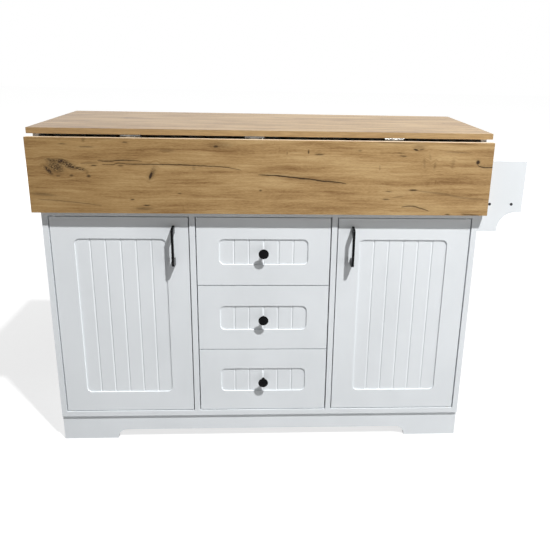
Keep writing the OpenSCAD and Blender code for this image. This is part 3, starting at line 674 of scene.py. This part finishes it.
@dataclass(frozen=True)
class OakDecor:
    """Rustic oak decor on one board, with its knots and cracks where they lie.

    Its grain runs along X, across is the other axis of its face, and out points out of it.
    The tints paint shade: from left_painted_shade at the left end, darker where less lamp
    light falls, to right_painted_shade at painted_shade_end mm along the board. The edge band
    starts band_limits mm below the face, and its painted highlight, a light upper rim where the
    lamp catches the edge, starts top_edge_highlight_limits mm below the edge.
    A mark's depth is multiplied by lightest_mark where its strokes are lightest, and by up to
    mark_rise more where they are darkest.
    """

    name: str
    node: str
    across: Axis
    out: Axis
    knots: tuple[Knot, ...] = ()
    cracks: tuple[Crack, ...] = ()
    dark: Colour = screen_colour(134, 100, 60)
    middle: Colour = screen_colour(176, 142, 95)
    light: Colour = screen_colour(200, 168, 120)
    knot_colour: Colour = screen_colour(50, 31, 6)
    band: Colour = screen_colour(188, 157, 110)
    band_line: Colour = screen_colour(156, 124, 80)
    # Painted highlight: the light rim of the upper edge where the lamp catches it
    top_edge_highlight: Colour = screen_colour(235, 214, 186)
    # Painted shade: the left end darker, where less lamp light falls, fading to the right end's tint
    left_painted_shade: Colour = (0.8, 0.77, 0.7, 1.0)
    right_painted_shade: Colour = WHITE
    band_painted_shade: Colour = (0.84, 0.8, 0.72, 1.0)
    painted_shade_end: float = 800.0
    band_limits: Point = (0.35, 0.75)
    top_edge_highlight_limits: Point = (1.1, 0.6)
    brightness: float = 0.52
    contrast: float = 1.0
    seed: float = 0.0
    roughness: float = 0.5
    unevenness: float = 0.16
    specular: float = 0.28
    relief_mm: float = 0.12
    relief_strength: float = 0.35
    broad: GrainLayer = GrainLayer(190.0, 24.0, 2.0, 1.0, 1.15)
    bands: GrainLayer = GrainLayer(300.0, 6.5, 3.0, 2.0, 0.8)
    streaks: GrainLayer = GrainLayer(34.0, 2.2, 3.0, 4.0, 0.7)
    flecks: GrainLayer = GrainLayer(9.0, 1.3, 2.0, 3.0, 0.65)
    pores: GrainLayer = GrainLayer(7.0, 0.4, 2.0, 6.0, 0.25)
    rays: GrainLayer = GrainLayer(2.2, 26.0, 1.0, 7.0, 0.16)
    ray_patches: GrainLayer = GrainLayer(70.0, 45.0, 1.0, 8.0)
    ray_limits: Point = (0.08, 0.3)
    ray_patch_limits: Point = (0.02, 0.2)
    streak_relief: float = 0.6
    pore_relief: float = 0.5
    ragging: Lumps = Lumps((0.05, 0.12, 1.0), 3.0, 0.6, 5.0)
    ragged_mm: float = 3.0
    waves: Lumps = Lumps((0.0045, 0.016, 1.0), 2.0, 0.5, 9.0)
    wave_mm: float = 18.0
    band_grain: Lumps = Lumps((0.02, 0.02, 0.7), 3.0, 0.6, 11.0)
    band_grain_limits: Point = (0.3, 0.7)
    strokes: Lumps = Lumps((0.2, 0.5, 1.0), 3.0, 0.7, 2.0)
    stroke_turn: float = 40.0
    speckle_limits: Point = (0.36, 0.54)
    lightest_mark: float = 0.8
    mark_rise: float = 0.4

    def material(self) -> bpy.types.Material:
        """Builds the material.

        Returns:
            The material.
        """
        shader = Shader.of_material(self.name)
        low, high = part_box(self.node)
        thick, wide = ((high - low)[axis.value] / MM for axis in (self.out, self.across))
        place = shader.vectors("SUBTRACT", shader.place(), tuple(low / MM))
        parts = shader.node("ShaderNodeSeparateXYZ", None, {"Vector": place})
        along, across, out = (parts.output(axis.name) for axis in (Axis.X, self.across, self.out))
        flat = shader.combine(along, across, 0.0)
        shift = self.ragged_mm * (self.ragging.over(shader, flat) - 0.5)
        marks, push = self._marks(shader, shader.combine(along, across + shift, 0.0), across)
        wave = self.wave_mm * (self.waves.over(shader, flat) - 0.5)
        tone, lines = self._tone(shader, along, across - push + wave)
        ramp = ((0.1, self.dark), (0.5, self.middle), (0.9, self.light))
        wood = shader.node("ShaderNodeValToRGB", {"stops": ramp}, {"Fac": tone})
        marked = shader.mix(marks, wood, self.knot_colour)
        band_start, band_full = (thick / 2 - depth for depth in self.band_limits)
        rim = shader.smooth(abs(out - thick / 2), band_start, band_full)
        # Painted highlight: a light rim along the upper edge, where the lamp catches it
        edge = shader.smooth(across, *(wide - depth for depth in self.top_edge_highlight_limits))
        banding = shader.mix(edge, self._banding(shader, place), self.top_edge_highlight)
        # Painted shade: face and edge band darker towards the left end, where less lamp light falls
        share = shader.smooth(along, 0.0, self.painted_shade_end)
        face_painted_shade = shader.mix(share, self.left_painted_shade, self.right_painted_shade)
        band_painted_shade = shader.mix(share, self.band_painted_shade, WHITE)
        face_colour = shader.vectors("MULTIPLY", marked, face_painted_shade)
        band_colour = shader.vectors("MULTIPLY", banding, band_painted_shade)
        return shader.surface(
            Base_Color=shader.mix(rim, face_colour, band_colour),
            Roughness=self.roughness + self.unevenness * (lines - 0.5),
            Specular_IOR_Level=self.specular,
            Normal=shader.bump(lines, self.relief_mm, self.relief_strength),
        )

    def _tone(self, shader: Shader, along: Value, grain: Value) -> tuple[Value, Value]:
        """Lays out the light and dark of the grain.

        Args:
            shader: the shader to add to.
            along: place along the grain in mm.
            grain: place across the grain in mm, already bent.

        Returns:
            The tone from 0, dark, to 1, light, and the fine lines alone.
        """
        layers = (
            self.broad, self.bands, self.streaks, self.flecks, self.pores,
            self.rays, self.ray_patches,
        )
        broad, bands, streaks, flecks, pores, rays, patches = (
            layer.over(shader, along, grain, self.seed) for layer in layers
        )
        rayed = shader.smooth(rays, *self.ray_limits)
        rayed = self.rays.weight * rayed * shader.smooth(patches, *self.ray_patch_limits)
        lines = streaks * self.streak_relief + pores * self.pore_relief + 0.5
        tone = self.broad.weight * broad + self.bands.weight * bands
        tone = tone + self.streaks.weight * streaks + self.flecks.weight * flecks
        tone = tone + self.pores.weight * pores
        return self.brightness + self.contrast * tone - rayed, lines

    def _marks(self, shader: Shader, face: Value, across: Value) -> tuple[Value, Value]:
        """Joins all knots and cracks.

        Args:
            shader: the shader to add to.
            face: place on the face in mm, slightly ragged.
            across: place across the grain in mm.

        Returns:
            How dark the marks are, from 0 to 1, and how far they push the grain aside, in mm.
        """
        strokes = self.strokes
        turn = (0.0, 0.0, math.radians(self.stroke_turn))
        inputs = {"Vector": face, "Rotation": turn, "Scale": strokes.scale}
        spots = shader.node("ShaderNodeMapping", {"vector_type": "POINT"}, inputs)
        grains = shader.noise(spots, strokes.detail, strokes.roughness, strokes.seed)
        speckle = shader.smooth(grains, *self.speckle_limits)
        marks: Value | float = 0.0
        push: Value | float = 0.0
        for knot in self.knots:
            near = knot.near(shader, face)
            marks = knot.mask(shader, near, speckle).most(marks)
            if knot.bends():
                push = push + knot.push(near, across)
        for crack in self.cracks:
            marks = crack.mask(shader, face).most(marks)
        return marks * (self.lightest_mark + self.mark_rise * grains), push

    def _banding(self, shader: Shader, place: Value) -> Value:
        """Paints the edge band, whose grain runs along every edge."""
        drift = shader.smooth(self.band_grain.over(shader, place), *self.band_grain_limits)
        return shader.mix(drift, self.band_line, self.band)


# Knots: place along and across, half length and half height in mm, tilt, depth, speckled
LEAF_KNOTS = (
    Knot(66, 138, 22, 6, -4, 0.75, True),
    Knot(90, 134, 22, 9, -14, 0.9, True),
    Knot(106, 125, 22, 9, -24, 0.9, True),
    Knot(131, 117, 20, 5, -10, 0.8, True),
    Knot(54, 112, 17, 6, -50, 0.9, True),
    Knot(72, 121, 26, 17, -20, 0.75, True),
    Knot(77, 98, 7, 3, 0, 0.5),
    Knot(110, 99, 6, 3, 0, 0.6),
    Knot(153, 98, 6, 4, 0, 0.7),
    Knot(150, 108, 5, 9, 0, 0.22),
    Knot(94, 180, 13, 2, 0, 0.45),
    Knot(152, 173, 22, 2.4, 0, 0.45),
    Knot(249, 186, 8, 1.8, 0, 0.6),
    Knot(146, 191, 5, 6, 0, 0.3),
    Knot(260, 37, 6, 2.4, 0, 0.7),
    Knot(168, 125.6, 9, 1.8, 0, 0.8),
    Knot(235, 126, 9, 3, 0, 0.5),
    Knot(420, 121, 6, 6, 0, 0.28),
    Knot(35, 49, 40, 5, -5, 0.35),
    Knot(310, 101, 13, 4.6, 68, 1.0),
    Knot(314, 108, 21, 8, 68, 0.5, True),
    Knot(477, 178, 8, 4, 0, 0.75),
    Knot(490, 181, 36, 10, 0, 0.25),
    Knot(353, 165.6, 24, 5, 0, 0.25),
    Knot(382, 54.5, 6, 2, 0, 0.6),
    Knot(296, 21.8, 10, 2.2, 0, 0.75),
    Knot(288, 13, 26, 5, 0, 0.4),
    Knot(714, 167, 2.4, 6, 0, 0.7),
    Knot(742, 161, 14, 2.2, 0, 0.65),
    Knot(659, 164, 2, 6, 0, 0.3),
    Knot(847, 172, 6, 3, 0, 0.35),
    Knot(591, 64, 4.5, 3, 0, 0.6),
    Knot(1002, 183, 18, 11, 0, 0.22),
    Knot(993, 176, 8, 2.8, -14, 0.95),
    Knot(1008, 177, 9, 2.2, 10, 0.55),
    Knot(930, 194, 60, 2.4, -1, 0.4),
    Knot(1110, 192, 46, 2.2, -2, 0.35),
    Knot(1105, 171, 42, 3, -2, 0.3),
    Knot(1018, 141, 3.4, 15, 8, 0.2),
    Knot(1046, 134, 3.6, 13, -6, 0.18),
    Knot(1032, 158, 3.2, 11, 15, 0.15),
    Knot(1094, 141, 5, 12, -10, 0.17),
    Knot(901, 128, 2.2, 8, 0, 0.25),
    Knot(953, 167, 14, 1.8, 0, 0.4),
    Knot(961, 159, 12, 2, -5, 0.6),
    Knot(994, 68.7, 14, 3, 0, 0.8),
    Knot(928, 64.9, 10, 2.2, 0, 0.5),
    Knot(923, 43, 11, 2.6, 0, 0.55),
    Knot(954, 50, 20, 2.2, 8, 0.3),
    Knot(1160, 145, 6, 7, 0, 1.0),
    Knot(1091, 3, 8, 2.4, 0, 0.7),
)

# Cracks: points along and across, then half width in mm and depth
LEAF_CRACKS = (
    Crack(((178, 138.7), (202, 137), (231, 139.3), (256, 139.6), (290, 137))),
    Crack(((135, 130.3), (156, 131.9), (180, 132.2)), 1.0, 0.55),
    Crack(
        (
            (188, 128), (213, 128.2), (232, 131.9), (256, 130.3), (322, 130.3), (372, 129.9),
            (421, 128.4), (465, 126.8), (494, 125.7), (516, 122.6), (542, 117.6),
        ),
        1.3,
    ),
    Crack(((19, 36.3), (82, 31.7), (181, 20.3)), 1.5, 0.4),
    Crack(
        (
            (584, 105.4), (626, 104.5), (653, 102.1), (676, 99.8), (701, 96.9), (726, 95),
            (753, 90.8), (784, 88.8), (816, 84.4),
        ),
        1.9,
        0.95,
    ),
    Crack(((1158, 146), (1162, 136), (1176, 132.1), (1204, 132.4)), 1.5, 0.9),
    Crack(((1003, 67.5), (1063, 60.7), (1085, 57.6), (1129, 49.3), (1204, 44)), 3.0, 0.28),
    Crack(((965, 22.7), (991, 25.1), (1015, 19.8), (1040, 11.6)), 1.7, 0.7),
    Crack(((1128, 4.6), (1150, 2.6), (1178, 1)), 1.8, 0.6),
)

TOP_KNOTS = (
    Knot(198, 232, 9, 6, 0, 0.6),
    Knot(205, 240, 34, 16, 4, 0.25, True),
    Knot(966, 311, 12, 6, 0, 0.75),
    Knot(975, 308, 44, 18, -3, 0.22, True),
    Knot(640, 300, 26, 9, 0, 0.22, True),
    Knot(1130, 215, 8, 4, 0, 0.5),
    Knot(415, 60, 7, 3, 0, 0.45),
)

TOP_CRACKS = (
    Crack(((300, 138), (420, 143), (560, 135), (690, 139)), 1.8, 0.4),
    Crack(((280, 188), (390, 184), (470, 189)), 1.6, 0.3),
    Crack(((820, 98), (930, 92), (1060, 99), (1150, 96)), 1.6, 0.3),
)


class Finishes:
    """Every finish of the island, built once."""

    def __init__(self) -> None:
        """Builds the materials."""
        leaf = OakDecor("leaf_oak", "leaf", Axis.Z, Axis.Y, LEAF_KNOTS, LEAF_CRACKS)
        worktop = OakDecor(
            "worktop_oak", "worktop", Axis.Y, Axis.Z, TOP_KNOTS, TOP_CRACKS, seed=20.0,
            # Painted shade: the worktop darker towards its left end, where less lamp light falls
            contrast=1.5, left_painted_shade=(0.74, 0.75, 0.81, 1.0), right_painted_shade=(0.92, 0.95, 1.0, 1.0),
            roughness=0.38, specular=0.6,
        )
        steel = Zinc(
            "hinge_steel", screen_colour(140, 139, 136), screen_colour(104, 104, 104),
            roughness=0.26,
        )
        oxide = Zinc(
            "dark_oxide", screen_colour(78, 78, 82), screen_colour(58, 58, 62), roughness=0.45
        )
        rail_white = screen_colour(224, 228, 233)
        rail = Moulded("rail_lacquer", rail_white, shaded(rail_white), roughness=0.3)
        self.leaf_oak = leaf.material()
        self.top_oak = worktop.material()
        self.white = WhiteLacquer().material()
        self.beech = PlainBeech().material()
        self.black = BlackSatin().material()
        self.zinc = Zinc().material()
        self.hinge_steel = steel.material()
        self.dark_steel = oxide.material()
        self.rail = rail.material()
        self.plastic = Moulded().material()


# ---- Meshes ----


def body_of(node: str) -> str:
    """Gives the CAD body that a node rides on."""
    return frame["nodes"][node]["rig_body"]


def add_piece(
    mesh: bpy.types.Mesh, name: str, finish: bpy.types.Material, nodes: Sequence[str]
) -> bpy.types.Object:
    """Adds a mesh to the scene as a piece that stands for CAD nodes.

    Args:
        mesh: the mesh, in place in the frame.
        name: the piece's name.
        finish: its material.
        nodes: the nodes of one body that it replaces.

    Returns:
        The piece.
    """
    mesh.materials.clear()
    mesh.materials.append(finish)
    piece = bpy.data.objects.new(name, mesh)
    bpy.context.scene.collection.objects.link(piece)
    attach(piece, body_of(nodes[0]))
    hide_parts(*nodes)
    log.info("%s rides on %s", name, body_of(nodes[0]))
    return piece


def round_edges(
    shape: bmesh.types.BMesh,
    low: float,
    high: float,
    radius_mm: float,
    segments: int,
    shortest_mm: float = 0.0,
) -> None:
    """Rounds the convex edges of a shape whose turn lies within limits.

    Args:
        shape: the shape.
        low: the edges turn by more than this, in degrees.
        high: and by no more than this.
        radius_mm: radius of the rounding, or width of the chamfer.
        segments: number of steps in each rounding; 1 gives a chamfer.
        shortest_mm: shorter edges stay as they are. Where it is given, no other edge
            narrows the rounding.
    """
    least, most = math.radians(low), math.radians(high)
    edges = [
        edge for edge in shape.edges
        if edge.is_convex
        and least < edge.calc_face_angle(0.0) <= most
        and edge.calc_length() >= shortest_mm * MM
    ]
    if edges:
        rounding = bmesh.ops.bevel(
            shape, geom=edges, offset=radius_mm * MM, offset_type="OFFSET", segments=segments,
            profile=0.5, affect="EDGES", clamp_overlap=not shortest_mm,
        )
        for face in rounding["faces"]:
            face.smooth = True


def rounded_mesh(
    node: str, radius_mm: float, segments: int, groove_chamfer_mm: float = 0.0
) -> bpy.types.Mesh:
    """Copies a node's mesh with its outer edges rounded; inner edges stay crisp.

    Args:
        node: the CAD node.
        radius_mm: radius of the edges.
        segments: number of steps in each rounding.
        groove_chamfer_mm: chamfer of the shoulders of grooves; 0 leaves them crisp.

    Returns:
        The new mesh.
    """
    sharp, flat = math.radians(SHARP_TURN), math.radians(FLAT_TURN)
    shape = bmesh.new()
    shape.from_mesh(frame["nodes"][node].data)
    bmesh.ops.remove_doubles(shape, verts=shape.verts, dist=WELD_M)
    bmesh.ops.dissolve_limit(shape, angle_limit=flat, verts=shape.verts, edges=shape.edges)
    for edge in shape.edges:
        turn = edge.calc_face_angle(0.0)
        if turn > sharp:
            edge.smooth = False
        elif turn > flat * 2:
            for face in edge.link_faces:
                face.smooth = True
    if groove_chamfer_mm:
        round_edges(shape, SHOULDER_TURN, EDGE_TURN, groove_chamfer_mm, 1, SHORTEST_SHOULDER)
    round_edges(shape, EDGE_TURN, FULL_TURN, radius_mm, segments)
    return finished_mesh(shape, f"{node}_rounded")


def finished_mesh(shape: bmesh.types.BMesh, name: str) -> bpy.types.Mesh:
    """Turns a shape into a mesh, and frees the shape.

    Args:
        shape: the shape.
        name: the mesh's name.

    Returns:
        The mesh.
    """
    mesh = bpy.data.meshes.new(name)
    shape.to_mesh(mesh)
    shape.free()
    return mesh


def turn_outline(
    shape: bmesh.types.BMesh, outline: Sequence[Point], place: Matrix, steps: int = 64
) -> None:
    """Adds a closed body of revolution to a shape.

    Args:
        shape: the shape to add to, in metres.
        outline: its outline as (radius, height) in mm, about Z.
        place: where the body goes.
        steps: number of steps round it.
    """
    rings = []
    for radius, height in outline:
        count = steps if radius * MM > WELD_M else 1
        turns = (math.tau * i / count for i in range(count))
        spots = ((radius * math.cos(t), radius * math.sin(t), height) for t in turns)
        rings.append([shape.verts.new(place @ (Vector(spot) * MM)) for spot in spots])
    made = []
    for lower, upper in zip(rings, rings[1:]):
        for i in range(steps):
            corners = [lower[i % len(lower)], lower[(i + 1) % len(lower)]]
            corners += [upper[(i + 1) % len(upper)], upper[i % len(upper)]]
            made.append(shape.faces.new(dict.fromkeys(corners)))
            made[-1].smooth = True
    bmesh.ops.recalc_face_normals(shape, faces=made)


def arc(centre: Point, radius: float, start: float, end: float, steps: int) -> list[Point]:
    """Gives the points of an arc between two angles in degrees."""
    angles = (math.radians(start + (end - start) * i / steps) for i in range(steps + 1))
    return [(centre[0] + radius * math.cos(a), centre[1] + radius * math.sin(a)) for a in angles]


# ---- Sub-assemblies ----


@dataclass
class SubAssembly:
    """Pieces of one part of the island, and the finishes that they wear."""

    finishes: Finishes

    def build(self) -> None:
        """Builds and dresses its pieces."""
        raise NotImplementedError

    def keep(self, finish: bpy.types.Material, nodes: Iterable[str]) -> None:
        """Gives CAD nodes that stay a better material.

        Args:
            finish: the material.
            nodes: the nodes.
        """
        for node in nodes:
            for slot in frame["nodes"][node].material_slots:
                slot.material = finish
            log.info("%s kept", node)

    def round_boards(
        self,
        finish: bpy.types.Material,
        slot: Slot,
        nodes: Iterable[str],
        radius_mm: float,
        segments: int = 2,
        groove_chamfer_mm: float = 0.0,
    ) -> None:
        """Replaces nodes by copies with rounded edges.

        Args:
            finish: their material.
            slot: the record's slot that the material belongs to; not used.
            nodes: the nodes.
            radius_mm: radius of the edges.
            segments: number of steps in each rounding.
            groove_chamfer_mm: chamfer of the shoulders of grooves; 0 leaves them crisp.
        """
        for node in nodes:
            mesh = rounded_mesh(node, radius_mm, segments, groove_chamfer_mm)
            add_piece(mesh, f"{node}_shaped", finish, [node])


@dataclass
class Carcass(SubAssembly):
    """Sides, dividers, floor, deck and what is fixed between them."""

    edge_radius: float = 0.6

    def build(self) -> None:
        """Rounds the boards and dresses the rest."""
        boards = (
            "side_left", "side_right", "divider_left", "divider_right", "bottom_board", "deck",
            "niche_partitions", "shelf_left", "shelf_right",
        )
        self.round_boards(self.finishes.white, Slot.WHITE_BOARD, boards, self.edge_radius)
        self.keep(self.finishes.white, ("back_panel",))
        self.keep(self.finishes.beech, ("dowels",))
        self.keep(self.finishes.plastic, ("door_pivot_bushes", "door_catches"))
        self.keep(self.finishes.zinc, ("shelf_pins", "cabinet_runners"))


@dataclass
class Plinth(SubAssembly):
    """The plinth boards under the carcass."""

    edge_radius: float = 0.8

    def build(self) -> None:
        """Rounds the plinth boards."""
        boards = ("plinth_front", "plinth_back", "plinth_sides", "plinth_centre")
        self.round_boards(self.finishes.white, Slot.WHITE_BOARD, boards, self.edge_radius)


@dataclass
class OakTops(SubAssembly):
    """The worktop and its drop leaf."""

    edge_radius: float = 0.9

    def build(self) -> None:
        """Rounds both boards and gives each its own piece of decor."""
        self.round_boards(self.finishes.top_oak, Slot.OAK, ("worktop",), self.edge_radius)
        self.round_boards(self.finishes.leaf_oak, Slot.OAK, ("leaf",), self.edge_radius)


@dataclass
class LeafHardware(SubAssembly):
    """Hinges and folding stays of the leaf with their screws."""

    sheet_edge: float = 0.25

    def build(self) -> None:
        """Rounds the sheet metal parts and dresses the screws."""
        hinges = ("hinge_top_plates", "hinge_leaf_plates")
        self.round_boards(self.finishes.hinge_steel, Slot.ZINC_STEEL, hinges, self.sheet_edge)
        stays = ("stay_side_brackets", "stay_leaf_brackets", "stay_lower_arms", "stay_upper_arms")
        self.round_boards(self.finishes.zinc, Slot.ZINC_STEEL, stays, self.sheet_edge)
        screws = ("hinge_pins", "worktop_screws", "leaf_screws", "stay_side_screws")
        self.keep(self.finishes.zinc, screws)


@dataclass
class CupboardDoor(SubAssembly):
    """One door with its handle, pivot pins and strike plate."""

    side: Side = Side.LEFT
    edge_radius: float = 0.6
    groove_chamfer: float = 1.6
    handle_radius: float = 1.2

    def build(self) -> None:
        """Rounds door and handle and dresses the metal parts."""
        door = f"door_{self.side.value}"
        self.round_boards(
            self.finishes.white, Slot.WHITE_BOARD, (door,), self.edge_radius,
            groove_chamfer_mm=self.groove_chamfer,
        )
        handle = (f"{door}_handle",)
        self.round_boards(self.finishes.black, Slot.BLACK_METAL, handle, self.handle_radius, 3)
        self.keep(self.finishes.zinc, (f"{door}_pivot_pins", f"{door}_strike"))


@dataclass
class Drawer(SubAssembly):
    """One drawer with its front, knob, box and runners."""

    level: Level = Level.TOP
    edge_radius: float = 0.9
    box_edge_radius: float = 0.6
    groove_chamfer: float = 1.6
    knob_diameter: float = 28.0
    knob_projection: float = 25.0
    head_thickness: float = 6.0
    stem_diameter: float = 8.5
    stem_flare: float = 0.8
    crown: float = 2.2
    lip: float = 1.3
    lip_angles: Point = (-65.0, 80.0)
    crown_share: float = 0.97
    screw_diameter: float = 4.0
    screw_head: float = 8.0
    screw_head_height: float = 2.4
    screw_rim_height: float = 1.2
    screw_shoulder_height: float = 2.1
    screw_shoulder_share: float = 0.8

    def build(self) -> None:
        """Rounds the front, turns the knob and dresses the rest."""
        name = f"drawer_{self.level.value}"
        white = self.finishes.white
        self.round_boards(
            white, Slot.WHITE_BOARD, (f"{name}_front",), self.edge_radius,
            groove_chamfer_mm=self.groove_chamfer,
        )
        self.round_boards(white, Slot.WHITE_BOARD, (f"{name}_box",), self.box_edge_radius)
        self.keep(white, (f"{name}_base",))
        self.keep(self.finishes.zinc, (f"{name}_runners",))
        self.turn_knob(f"{name}_knob")

    def knob_outline(self) -> list[Point]:
        """Draws the mushroom knob from its foot over its flared neck and lip to its crown.

        Returns:
            The outline as (radius, height) in mm.
        """
        stem = self.stem_diameter / 2
        flat_radius = self.knob_diameter / 2 - self.lip
        neck_end = self.knob_projection - self.head_thickness
        steps = 12
        neck = []
        for i in range(steps + 1):
            flare = self.stem_flare * (1 - math.sin(math.pi * i / steps))
            neck.append((stem + flare, neck_end * i / steps))
        lip_height = self.knob_projection - self.crown - self.lip
        lip = arc((flat_radius, lip_height), self.lip, *self.lip_angles, 8)
        crown_radius = (flat_radius**2 + self.crown**2) / (2 * self.crown)
        sweep = math.degrees(math.asin(flat_radius / crown_radius)) * self.crown_share
        centre = (0.0, self.knob_projection - crown_radius)
        crown = arc(centre, crown_radius, 90 - sweep, 90, steps)
        return [(0.0, 0.0), *neck, *lip, *crown[:-1], (0.0, self.knob_projection)]

    def screw_outline(self, shank_end: float) -> list[Point]:
        """Draws the knob's screw from its end in the knob to the top of its head.

        Args:
            shank_end: length of its shank in mm.

        Returns:
            The outline as (radius, height) in mm.
        """
        shank = self.screw_diameter / 2
        head = self.screw_head / 2
        return [
            (0.0, 0.0),
            (shank, 0.0),
            (shank, shank_end),
            (head, shank_end),
            (head, shank_end + self.screw_rim_height),
            (head * self.screw_shoulder_share, shank_end + self.screw_shoulder_height),
            (0.0, shank_end + self.screw_head_height),
        ]

    def turn_knob(self, node: str) -> None:
        """Turns the knob and its screw, and stands them in for their node.

        Args:
            node: the knob's node.
        """
        low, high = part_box(node)
        foot_y = low.y + self.knob_projection * MM
        foot = Matrix.Translation(((low.x + high.x) / 2, foot_y, (low.z + high.z) / 2))
        shape = bmesh.new()
        turn_outline(shape, self.knob_outline(), foot @ Matrix.Rotation(math.pi / 2, 4, "X"))
        shank_end = (high.y - foot_y) / MM - self.screw_head_height
        screw = self.screw_outline(shank_end)
        turn_outline(shape, screw, foot @ Matrix.Rotation(-math.pi / 2, 4, "X"), 32)
        mesh = finished_mesh(shape, node)
        add_piece(mesh, f"{node}_turned", self.finishes.black, [node])


@dataclass
class EndRack(SubAssembly):
    """The open rack on the right end."""

    edge_radius: float = 0.9

    def build(self) -> None:
        """Rounds the panels and dresses rail and screws."""
        boards = ("rack_front_panel", "rack_back_panel", "rack_shelf")
        self.round_boards(self.finishes.white, Slot.WHITE_BOARD, boards, self.edge_radius)
        self.keep(self.finishes.rail, ("rack_rail",))
        self.keep(self.finishes.dark_steel, ("rack_screws",))


# ---- Studio ----


@dataclass(frozen=True)
class PhotoCamera:
    """The camera of the photograph, as fitted to it. Angles in degrees, lengths in mm."""

    position: Triple = (-41.8, -1711.4, 1122.9)
    yaw: float = 3.177
    pitch: float = 16.272
    roll: float = 1.253
    lens: float = 38.48
    sensor: float = 36.0
    shift: Point = (-0.0430, -0.0980)

    def build(self) -> None:
        """Adds the camera to the scene."""
        data = bpy.data.cameras.new("photo_camera")
        data.sensor_fit = "HORIZONTAL"
        data.sensor_width = self.sensor
        data.lens = self.lens
        data.shift_x, data.shift_y = self.shift
        camera = bpy.data.objects.new("photo_camera", data)
        bpy.context.scene.collection.objects.link(camera)
        yaw, pitch, roll = (math.radians(a) for a in (self.yaw, self.pitch, self.roll))
        ahead = Vector(
            (math.sin(yaw) * math.cos(pitch), math.cos(yaw) * math.cos(pitch), -math.sin(pitch))
        )
        level = Vector((math.cos(yaw), -math.sin(yaw), 0.0))
        up = level.cross(ahead)
        right = level * math.cos(roll) + up * math.sin(roll)
        top = up * math.cos(roll) - level * math.sin(roll)
        turn = Matrix((right, top, -ahead)).transposed()
        camera.matrix_world = Matrix.Translation(Vector(self.position) * MM) @ turn.to_4x4()
        bpy.context.scene.camera = camera


@dataclass(frozen=True)
class SoftLamp:
    """A round soft lamp that is turned towards the island. Lengths in mm."""

    name: str
    position: Triple
    width: float
    watts: float
    aim: Triple = (0.0, 0.0, 500.0)

    def build(self) -> None:
        """Adds the lamp to the scene."""
        data = bpy.data.lights.new(self.name, "AREA")
        data.shape = "DISK"
        data.size = self.width * MM
        data.energy = self.watts
        lamp = bpy.data.objects.new(self.name, data)
        bpy.context.scene.collection.objects.link(lamp)
        spot = Vector(self.position) * MM
        ahead = Vector(self.aim) * MM - spot
        turn = ahead.to_track_quat("-Z", "Y").to_matrix().to_4x4()
        lamp.matrix_world = Matrix.Translation(spot) @ turn


@dataclass(frozen=True)
class Studio:
    """Floor, lamps and surroundings.

    The glow is what a look at the floor adds to its light: from near_glow at glow_start mm
    from the island's middle to far_glow at glow_end mm.
    """

    lamps: tuple[SoftLamp, ...] = (
        SoftLamp("main_lamp", (1720.0, -2790.0, 5497.0), 200.0, 418.0),
        SoftLamp("side_lamp", (2600.0, -1600.0, 400.0), 1600.0, 16.0),
        SoftLamp("back_lamp", (-3600.0, 3600.0, 560.0), 1000.0, 125.0),
    )
    fill: float = 0.112
    floor_size: float = 30000.0
    floor_colour: Colour = screen_colour(152, 152, 152)
    near_glow: float = 0.74
    far_glow: float = 0.95
    glow_start: float = 800.0
    glow_end: float = 3000.0

    def build(self) -> None:
        """Adds lamps, floor and world, and sets how colours are shown."""
        for lamp in self.lamps:
            lamp.build()
        self.add_floor()
        self.add_world()
        bpy.context.scene.view_settings.view_transform = "Standard"

    def add_floor(self) -> None:
        """Adds a plain pale floor that shows white and keeps a soft shadow."""
        plane = bmesh.new()
        half = self.floor_size / 2 * MM
        corners = ((-half, -half), (half, -half), (half, half), (-half, half))
        plane.faces.new([plane.verts.new((x, y, 0.0)) for x, y in corners])
        mesh = finished_mesh(plane, "studio_floor")
        mesh.materials.append(self.floor_finish())
        floor = bpy.data.objects.new("studio_floor", mesh)
        bpy.context.scene.collection.objects.link(floor)

    def floor_finish(self) -> bpy.types.Material:
        """Builds the floor's material: matt, and lighter where it is looked at and far away.

        Returns:
            The material.
        """
        shader = Shader.of_material("studio_floor")
        matt = shader.node("ShaderNodeBsdfDiffuse", None, {"Color": self.floor_colour})
        away = shader.vectors("LENGTH", shader.place()).output("Value")
        far = shader.smooth(away, self.glow_start, self.glow_end)
        glow = shader.mix(far, shaded(WHITE, self.near_glow), shaded(WHITE, self.far_glow))
        inputs = {"Color": glow, "Strength": shader.seen()}
        lit = shader.node("ShaderNodeEmission", None, inputs)
        both = shader.node("ShaderNodeAddShader", None, {0: matt, 1: lit})
        shader.node("ShaderNodeOutputMaterial", None, {"Surface": both})
        return shader.owner

    def add_world(self) -> None:
        """Lights the island evenly from all round, and shows white behind it."""
        world = bpy.data.worlds.new("studio_world")
        bpy.context.scene.world = world
        shader = Shader(world)
        strength = shader.seen() * (1 - self.fill) + self.fill
        back = shader.node("ShaderNodeBackground", None, {"Color": WHITE, "Strength": strength})
        shader.node("ShaderNodeOutputWorld", None, {"Surface": back})


def main() -> None:
    """Builds the island's looks and the studio, in order."""
    logging.basicConfig(level=logging.INFO, format="%(message)s")
    PhotoCamera().build()
    Studio().build()
    finishes = Finishes()
    parts: list[SubAssembly] = [
        Carcass(finishes),
        Plinth(finishes),
        OakTops(finishes),
        LeafHardware(finishes),
        *(CupboardDoor(finishes, side) for side in Side),
        *(Drawer(finishes, level) for level in Level),
        EndRack(finishes),
    ]
    for part in parts:
        part.build()
        log.info("%s built", type(part).__name__)


if __name__ == "__main__":
    main()
